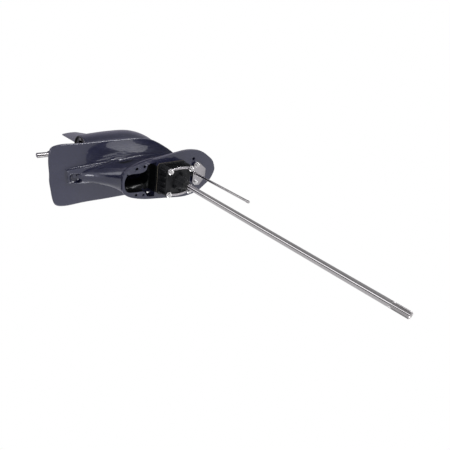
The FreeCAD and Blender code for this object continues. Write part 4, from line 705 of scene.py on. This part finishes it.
def repeat_tree(name):
    """A tree that sets copies of the modifier's own mesh on a grid, or on a line where one count is 1."""
    tree = bpy.data.node_groups.new(name, "GeometryNodeTree")
    for label, kind in (("Geometry", "NodeSocketGeometry"), ("Material", "NodeSocketMaterial"),
                        ("Spread X", "NodeSocketFloat"), ("Spread Y", "NodeSocketFloat"),
                        ("Count X", "NodeSocketInt"), ("Count Y", "NodeSocketInt")):
        tree.interface.new_socket(label, in_out="INPUT", socket_type=kind)
    tree.interface.new_socket("Geometry", in_out="OUTPUT", socket_type="NodeSocketGeometry")
    start, end = tree.nodes.new("NodeGroupInput"), tree.nodes.new("NodeGroupOutput")
    lines = []
    for axis in ("X", "Y"):
        line = add(tree, "GeometryNodeMeshLine", mode="END_POINTS")
        connect(tree, start.outputs["Count " + axis], line.inputs["Count"])
        for label, share in (("Start Location", -0.5), ("Offset", 0.5)):
            corner = add(tree, "ShaderNodeCombineXYZ")
            reach = calculate(tree, "MULTIPLY", start.outputs["Spread " + axis], share)
            connect(tree, reach, corner.inputs[axis])
            connect(tree, corner.outputs[0], line.inputs[label])
        lines.append(line.outputs["Mesh"])
    rows, copies = add(tree, "GeometryNodeInstanceOnPoints"), add(tree, "GeometryNodeInstanceOnPoints")
    spots, real = add(tree, "GeometryNodeRealizeInstances"), add(tree, "GeometryNodeRealizeInstances")
    painted = add(tree, "GeometryNodeSetMaterial")
    for source, target in (
        (lines[1], rows.inputs["Points"]),
        (lines[0], rows.inputs["Instance"]),
        (rows.outputs["Instances"], spots.inputs["Geometry"]),
        (spots.outputs["Geometry"], copies.inputs["Points"]),
        (start.outputs["Geometry"], copies.inputs["Instance"]),
        (copies.outputs["Instances"], real.inputs["Geometry"]),
        (real.outputs["Geometry"], painted.inputs["Geometry"]),
        (start.outputs["Material"], painted.inputs["Material"]),
        (painted.outputs["Geometry"], end.inputs["Geometry"]),
    ):
        connect(tree, source, target)
    return tree


def repeated(name, mesh, tree, material, spread, counts, place):
    """The plain mesh that a tree makes from one mesh, moved to its place."""
    values = {"Material": material, "Spread X": spread[0], "Spread Y": spread[1],
              "Count X": counts[0], "Count Y": counts[1]}
    sockets = [(item.identifier, values[item.name]) for item in tree.interface.items_tree
               if item.in_out == "INPUT" and item.name in values]
    made = modified(mesh, "NODES", {"node_group": tree}, sockets)
    made.transform(Matrix.Translation(place))
    made.name = name
    return made


# Operators


class LOWERUNIT_OT_inner_parts(bpy.types.Operator):
    """Give the gears, bearings, seals and other carried-over pieces their finish, with the carrier bolts
    darkened as painted shade
    """

    bl_idname = "lower_unit.inner_parts"
    bl_label = "Inner Parts"

    def execute(self, context):
        for entry in frame["record"]["subparts"]:
            node = entry["node"]
            finish_node(node, MATERIALS[FINISHES_AND_PAINTED_SHADE.get(node, entry["material_slot"])])
        return {"FINISHED"}


class LOWERUNIT_OT_casing(bpy.types.Operator):
    """Paint the casting and round the look of its surfaces"""

    bl_idname = "lower_unit.casing"
    bl_label = "Casing"

    def execute(self, context):
        housing = merged_mesh("gearcase_housing")
        mesh = joined("gearcase_shell", [housing, sweep_mesh(housing)])
        smooth(mesh, 26)
        shell = keep_piece("gearcase_shell", mesh, "casing", "casting_paint", "gearcase_housing")
        weighted = shell.modifiers.new("even_normals", "WEIGHTED_NORMAL")
        weighted.keep_sharp = True
        weighted.weight = 90
        return {"FINISHED"}


class LOWERUNIT_OT_shafts(bpy.types.Operator):
    """Turn the drive shaft and the shift rod with their splines"""

    bl_idname = "lower_unit.shafts"
    bl_label = "Shafts"

    def execute(self, context):
        settings = context.scene.lower_unit_shafts
        low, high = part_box("drive_shaft")
        foot, top = low.z, high.z
        spline_foot, relief, relief_depth = top - DRIVE_SPLINE_LENGTH, 2 * MM, 0.3 * MM
        shares = [i / DRIVE_RINGS for i in range(1, DRIVE_RINGS + 1)]
        profile = [(foot, 0), (foot, DRIVE_FOOT_RADIUS - DRIVE_FOOT_CHAMFER),
                   (foot + DRIVE_FOOT_CHAMFER, DRIVE_FOOT_RADIUS), *DRIVE_STEPS]
        profile += [(spline_foot * share - relief, DRIVE_RADIUS) for share in shares]
        profile += [(spline_foot + relief / 4, DRIVE_RADIUS - relief_depth),
                    (spline_foot + relief, DRIVE_RADIUS)]
        profile += [(spline_foot + relief + DRIVE_SPLINE_SPAN * share, DRIVE_RADIUS) for share in shares]
        profile += [(top + level, radius) for level, radius in DRIVE_END]
        mesh = turned_mesh("drive_shaft", profile, settings.around)
        cut_splines(mesh, spline_foot + relief + MM, top - MM, DRIVE_RADIUS, DRIVE_SPLINE_DEPTH,
                    settings.spline_teeth)
        smooth(mesh, 28)
        keep_piece("drive_shaft_turned", mesh, "drive", "stainless", "drive_shaft")

        low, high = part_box("shift_rod")
        foot, top = low.z, high.z
        tip, step, margin = top - SHIFT_TIP_LENGTH, SHIFT_TIP_RADIUS - SHIFT_ROD_RADIUS, 0.5 * MM
        profile = [(foot, 0), (foot, SHIFT_ROD_RADIUS), (tip, SHIFT_ROD_RADIUS)]
        profile += [(tip + step + SHIFT_TIP_SPAN * i / SHIFT_RINGS, SHIFT_TIP_RADIUS)
                    for i in range(SHIFT_RINGS + 1)]
        profile += [(top, SHIFT_END_RADIUS), (top, 0)]
        mesh = turned_mesh("shift_rod", profile, SHIFT_AROUND, SHIFT_ROD_X)
        cut_splines(mesh, tip + margin, top - margin, SHIFT_TIP_RADIUS, SHIFT_SPLINE_DEPTH,
                    SHIFT_SPLINE_TEETH, SHIFT_ROD_X)
        smooth(mesh, 28)
        keep_piece("shift_rod_turned", mesh, "shift", "stainless", "shift_rod")
        return {"FINISHED"}


class LOWERUNIT_OT_pump(bpy.types.Operator):
    """Mould the pump body with its ribs, boot and grommet"""

    bl_idname = "lower_unit.pump"
    bl_label = "Water Pump"

    def execute(self, context):
        settings = context.scene.lower_unit_pump
        body = soften_edges(merged_mesh("pump_housing", True), 0.0007)
        work = bmesh.new()
        bmesh.ops.create_cube(work, size=1.0)
        bmesh.ops.scale(work, vec=(RIB_WIDTH, settings.rib_depth + RIB_ROOT, RIB_HEIGHT), verts=work.verts)
        bmesh.ops.bevel(work, geom=work.edges, offset=RIB_ROUND, segments=2, affect="EDGES")
        ribs = repeated("pump_ribs", to_mesh("pump_rib", work), repeat_tree("Pump Ribs"),
                        MATERIALS["pump_plastic"], RIB_SPREAD, (settings.rib_count, 2), RIB_PLACE)
        mesh = joined("pump_body", [body, ribs])
        smooth(mesh, 40)
        keep_piece("pump_body_moulded", mesh, "casing", "pump_plastic", "pump_housing")

        boot = turned_mesh("boot", BOOT_PROFILE, 96, closed=True)
        smooth(boot, 50)
        keep_piece("pump_boot_moulded", boot, "casing", "rubber_black", "pump_boot")
        grommet = soften_edges(merged_mesh("water_tube_grommet", True), 0.0006)
        smooth(grommet, 40)
        keep_piece("grommet_moulded", grommet, "casing", "rubber_black", "water_tube_grommet")
        return {"FINISHED"}


class LOWERUNIT_OT_sheet_parts(bpy.types.Operator):
    """Round the edges of the pressed bars, bracket, wear plate, screens and plugs"""

    bl_idname = "lower_unit.sheet_parts"
    bl_label = "Pressed Parts"

    def execute(self, context):
        for node, slot, finish, width in EDGED_PARTS:
            mesh = soften_edges(merged_mesh(node, True), width)
            smooth(mesh, 40)
            keep_piece(node + "_finished", mesh, "casing", slot, node, finish)
        return {"FINISHED"}


class LOWERUNIT_OT_fasteners(bpy.types.Operator):
    """Repeat the bolts and washers at their places"""

    bl_idname = "lower_unit.fasteners"
    bl_label = "Fasteners"

    def execute(self, context):
        settings = context.scene.lower_unit_fasteners
        tree = repeat_tree("Bolt Pattern")
        pump_bolt = bolt_mesh(PUMP_BOLT_SEAT + PUMP_BOLT_REACH, settings)
        bracket_bolt = bolt_mesh(BRACKET_BOLT_LENGTH, settings, BRACKET_BOLT_TURN)
        for node, piece, mesh, spread, counts, place in (
            ("pump_bolts", "pump_bolts_headed", pump_bolt, PUMP_BOLT_SPREAD, (2, 2), (0, 0, PUMP_BOLT_SEAT)),
            ("pump_washers", "pump_washers_turned", washer_mesh(*WASHER_SIZE), PUMP_BOLT_SPREAD, (2, 2),
             (0, 0, WASHER_SEAT)),
            ("bracket_bolts", "bracket_bolts_headed", bracket_bolt, BRACKET_BOLT_SPREAD, (1, 2),
             BRACKET_BOLT_PLACE),
        ):
            made = repeated(node, mesh, tree, MATERIALS["fastener_steel"], spread, counts, place)
            smooth(made, 25)
            keep_piece(piece, made, "casing", "fastener_steel", node)
        return {"FINISHED"}


class LOWERUNIT_OT_trim_tab(bpy.types.Operator):
    """Cast the trim tab in bare zinc"""

    bl_idname = "lower_unit.trim_tab"
    bl_label = "Trim Tab"

    def execute(self, context):
        mesh = soften_edges(merged_mesh("trim_tab", True), 0.0008)
        smooth(mesh, 40)
        keep_piece("trim_tab_cast", mesh, "tab", "zinc", "trim_tab")
        return {"FINISHED"}


# Stage


def cards_round(tree, vector):
    """The tone of the cards and flags that stand round the part, by direction."""
    parts = add(tree, "ShaderNodeSeparateXYZ")
    connect(tree, vector, parts.inputs[0])
    angle = calculate(tree, "ARCTAN2", parts.outputs["Y"], parts.outputs["X"])
    cards = add(tree, "ShaderNodeValToRGB")
    stops = cards.color_ramp
    for degrees, tone in CARDS:
        step = stops.elements.new((degrees + 180.0) / 360.0)
        step.color = (tone, tone, tone * 1.02, 1)
    stops.elements.remove(stops.elements[0])
    stops.elements.remove(stops.elements[-1])
    connect(tree, ramp(tree, angle, -math.pi, math.pi), cards.inputs["Fac"])
    return cards.outputs["Color"]


def pale_floor(settings):
    """A floor that the camera sees as white paper; the finishes see cards and flags laid out round it."""
    material, shader = new_material("pale_floor")
    tree = material.node_tree
    place = add(tree, "ShaderNodeTexCoord").outputs["Object"]
    pale = mix_color(tree, noise(tree, place, 40.0), (0.90, 0.90, 0.90), (0.93, 0.93, 0.93))
    connect(tree, pale, shader.inputs["Base Color"])
    shader.inputs["Roughness"].default_value = 0.9

    outward = ramp(tree, calculate_vector(tree, "LENGTH", place), CARDS_NEAR, CARDS_FAR)
    near = [settings.ground * tint for tint in FLOOR_TINT]
    glow, paper = add(tree, "ShaderNodeEmission"), add(tree, "ShaderNodeEmission")
    connect(tree, mix_color(tree, outward, near, cards_round(tree, place)), glow.inputs["Color"])
    paper.inputs["Color"].default_value = (1, 1, 1, 1)
    path = add(tree, "ShaderNodeLightPath").outputs
    seen = mix_shader(tree, path["Is Glossy Ray"], shader.outputs["BSDF"], glow.outputs[0])
    final = mix_shader(tree, path["Is Camera Ray"], seen, paper.outputs[0])
    out = next(node for node in tree.nodes if node.bl_idname == "ShaderNodeOutputMaterial")
    connect(tree, final, out.inputs["Surface"])
    return material


def studio_light(tree, settings):
    """The colour of the room by direction: a bright ceiling over the cards that stand round the part."""
    way = add(tree, "ShaderNodeTexCoord").outputs["Generated"]
    parts = add(tree, "ShaderNodeSeparateXYZ")
    connect(tree, way, parts.inputs[0])
    top, soft = settings.wall_top, WALL_SOFTNESS
    rise = ramp(tree, parts.outputs["Z"], top - soft, top + soft)
    return mix_color(tree, rise, cards_round(tree, way), [settings.ceiling] * 3)


def set_world(scene, settings):
    """White for the camera, and the room's light for everything else."""
    world = bpy.data.worlds.new("studio")
    scene.world = world
    world.use_nodes = True
    tree = world.node_tree
    tree.nodes.clear()
    out = add(tree, "ShaderNodeOutputWorld")
    seen, lit = add(tree, "ShaderNodeBackground"), add(tree, "ShaderNodeBackground")
    seen.inputs["Strength"].default_value = 1.0
    seen.inputs["Color"].default_value = (1, 1, 1, 1)
    lit.inputs["Strength"].default_value = settings.sky
    connect(tree, studio_light(tree, settings), lit.inputs["Color"])
    camera_ray = add(tree, "ShaderNodeLightPath").outputs["Is Camera Ray"]
    connect(tree, mix_shader(tree, camera_ray, lit.outputs[0], seen.outputs[0]), out.inputs["Surface"])


def set_floor(scene, settings):
    mesh = bpy.data.meshes.new("floor")
    half, z = FLOOR_HALF, settings.floor_height
    corners = [(-half, -half, z), (half, -half, z), (half, half, z), (-half, half, z)]
    mesh.from_pydata(corners, [], [(0, 1, 2, 3)])
    floor = bpy.data.objects.new("floor", mesh)
    scene.collection.objects.link(floor)
    mesh.materials.append(pale_floor(settings))


def set_lights(scene):
    for name, place, aim, size, power in PANELS:
        light = bpy.data.lights.new(name, "AREA")
        light.shape = "RECTANGLE"
        light.size, light.size_y = size
        light.energy = power
        lamp = bpy.data.objects.new(name, light)
        lamp.location = place
        lamp.rotation_mode = "QUATERNION"
        lamp.rotation_quaternion = (Vector(aim) - Vector(place)).to_track_quat("-Z", "Y")
        scene.collection.objects.link(lamp)


def set_camera(scene, settings):
    camera = bpy.data.cameras.new("photo_camera")
    camera.lens = settings.lens
    camera.sensor_width = 36.0
    camera.clip_start = 0.01
    eye = bpy.data.objects.new("photo_camera", camera)
    turned = Matrix((CAMERA_RIGHT, CAMERA_UP, CAMERA_BACK)).transposed().to_4x4()
    turned.translation = CAMERA_PLACE
    eye.matrix_world = turned
    scene.collection.objects.link(eye)
    scene.camera = eye


class LOWERUNIT_OT_stage(bpy.types.Operator):
    """Set the floor, the lights and the camera"""

    bl_idname = "lower_unit.stage"
    bl_label = "Stage"

    def execute(self, context):
        scene = context.scene
        settings = scene.lower_unit_stage
        scene.view_settings.view_transform = "Standard"
        set_world(scene, settings)
        set_floor(scene, settings)
        set_lights(scene)
        set_camera(scene, settings)
        return {"FINISHED"}


class LOWERUNIT_PT_panel(bpy.types.Panel):
    bl_idname = "LOWERUNIT_PT_panel"
    bl_label = "Lower Unit"
    bl_space_type = "VIEW_3D"
    bl_region_type = "UI"
    bl_category = "Lower Unit"

    def draw(self, context):
        layout = self.layout
        for operator in OPERATORS:
            layout.operator(operator.bl_idname)
        for group in GROUPS:
            settings = getattr(context.scene, group)
            box = layout.box()
            for name in settings.bl_rna.properties.keys():
                if name not in ("rna_type", "name"):
                    box.prop(settings, name)


GROUPS = {
    "lower_unit_paint": LowerUnitPaint,
    "lower_unit_shafts": LowerUnitShafts,
    "lower_unit_fasteners": LowerUnitFasteners,
    "lower_unit_pump": LowerUnitPump,
    "lower_unit_stage": LowerUnitStage,
}
OPERATORS = (
    LOWERUNIT_OT_inner_parts,
    LOWERUNIT_OT_casing,
    LOWERUNIT_OT_shafts,
    LOWERUNIT_OT_pump,
    LOWERUNIT_OT_sheet_parts,
    LOWERUNIT_OT_fasteners,
    LOWERUNIT_OT_trim_tab,
    LOWERUNIT_OT_stage,
)


def register():
    for group in GROUPS.values():
        bpy.utils.register_class(group)
    for name, group in GROUPS.items():
        setattr(bpy.types.Scene, name, PointerProperty(type=group))
    for operator in OPERATORS:
        bpy.utils.register_class(operator)
    bpy.utils.register_class(LOWERUNIT_PT_panel)


def unregister():
    bpy.utils.unregister_class(LOWERUNIT_PT_panel)
    for operator in reversed(OPERATORS):
        bpy.utils.unregister_class(operator)
    for name, group in GROUPS.items():
        delattr(bpy.types.Scene, name)
        bpy.utils.unregister_class(group)


def main():
    register()
    MATERIALS.update(make_materials(bpy.context.scene))
    bpy.ops.lower_unit.inner_parts()
    bpy.ops.lower_unit.casing()
    bpy.ops.lower_unit.shafts()
    bpy.ops.lower_unit.pump()
    bpy.ops.lower_unit.sheet_parts()
    bpy.ops.lower_unit.fasteners()
    bpy.ops.lower_unit.trim_tab()
    bpy.ops.lower_unit.stage()


if __name__ == "__main__":
    main()
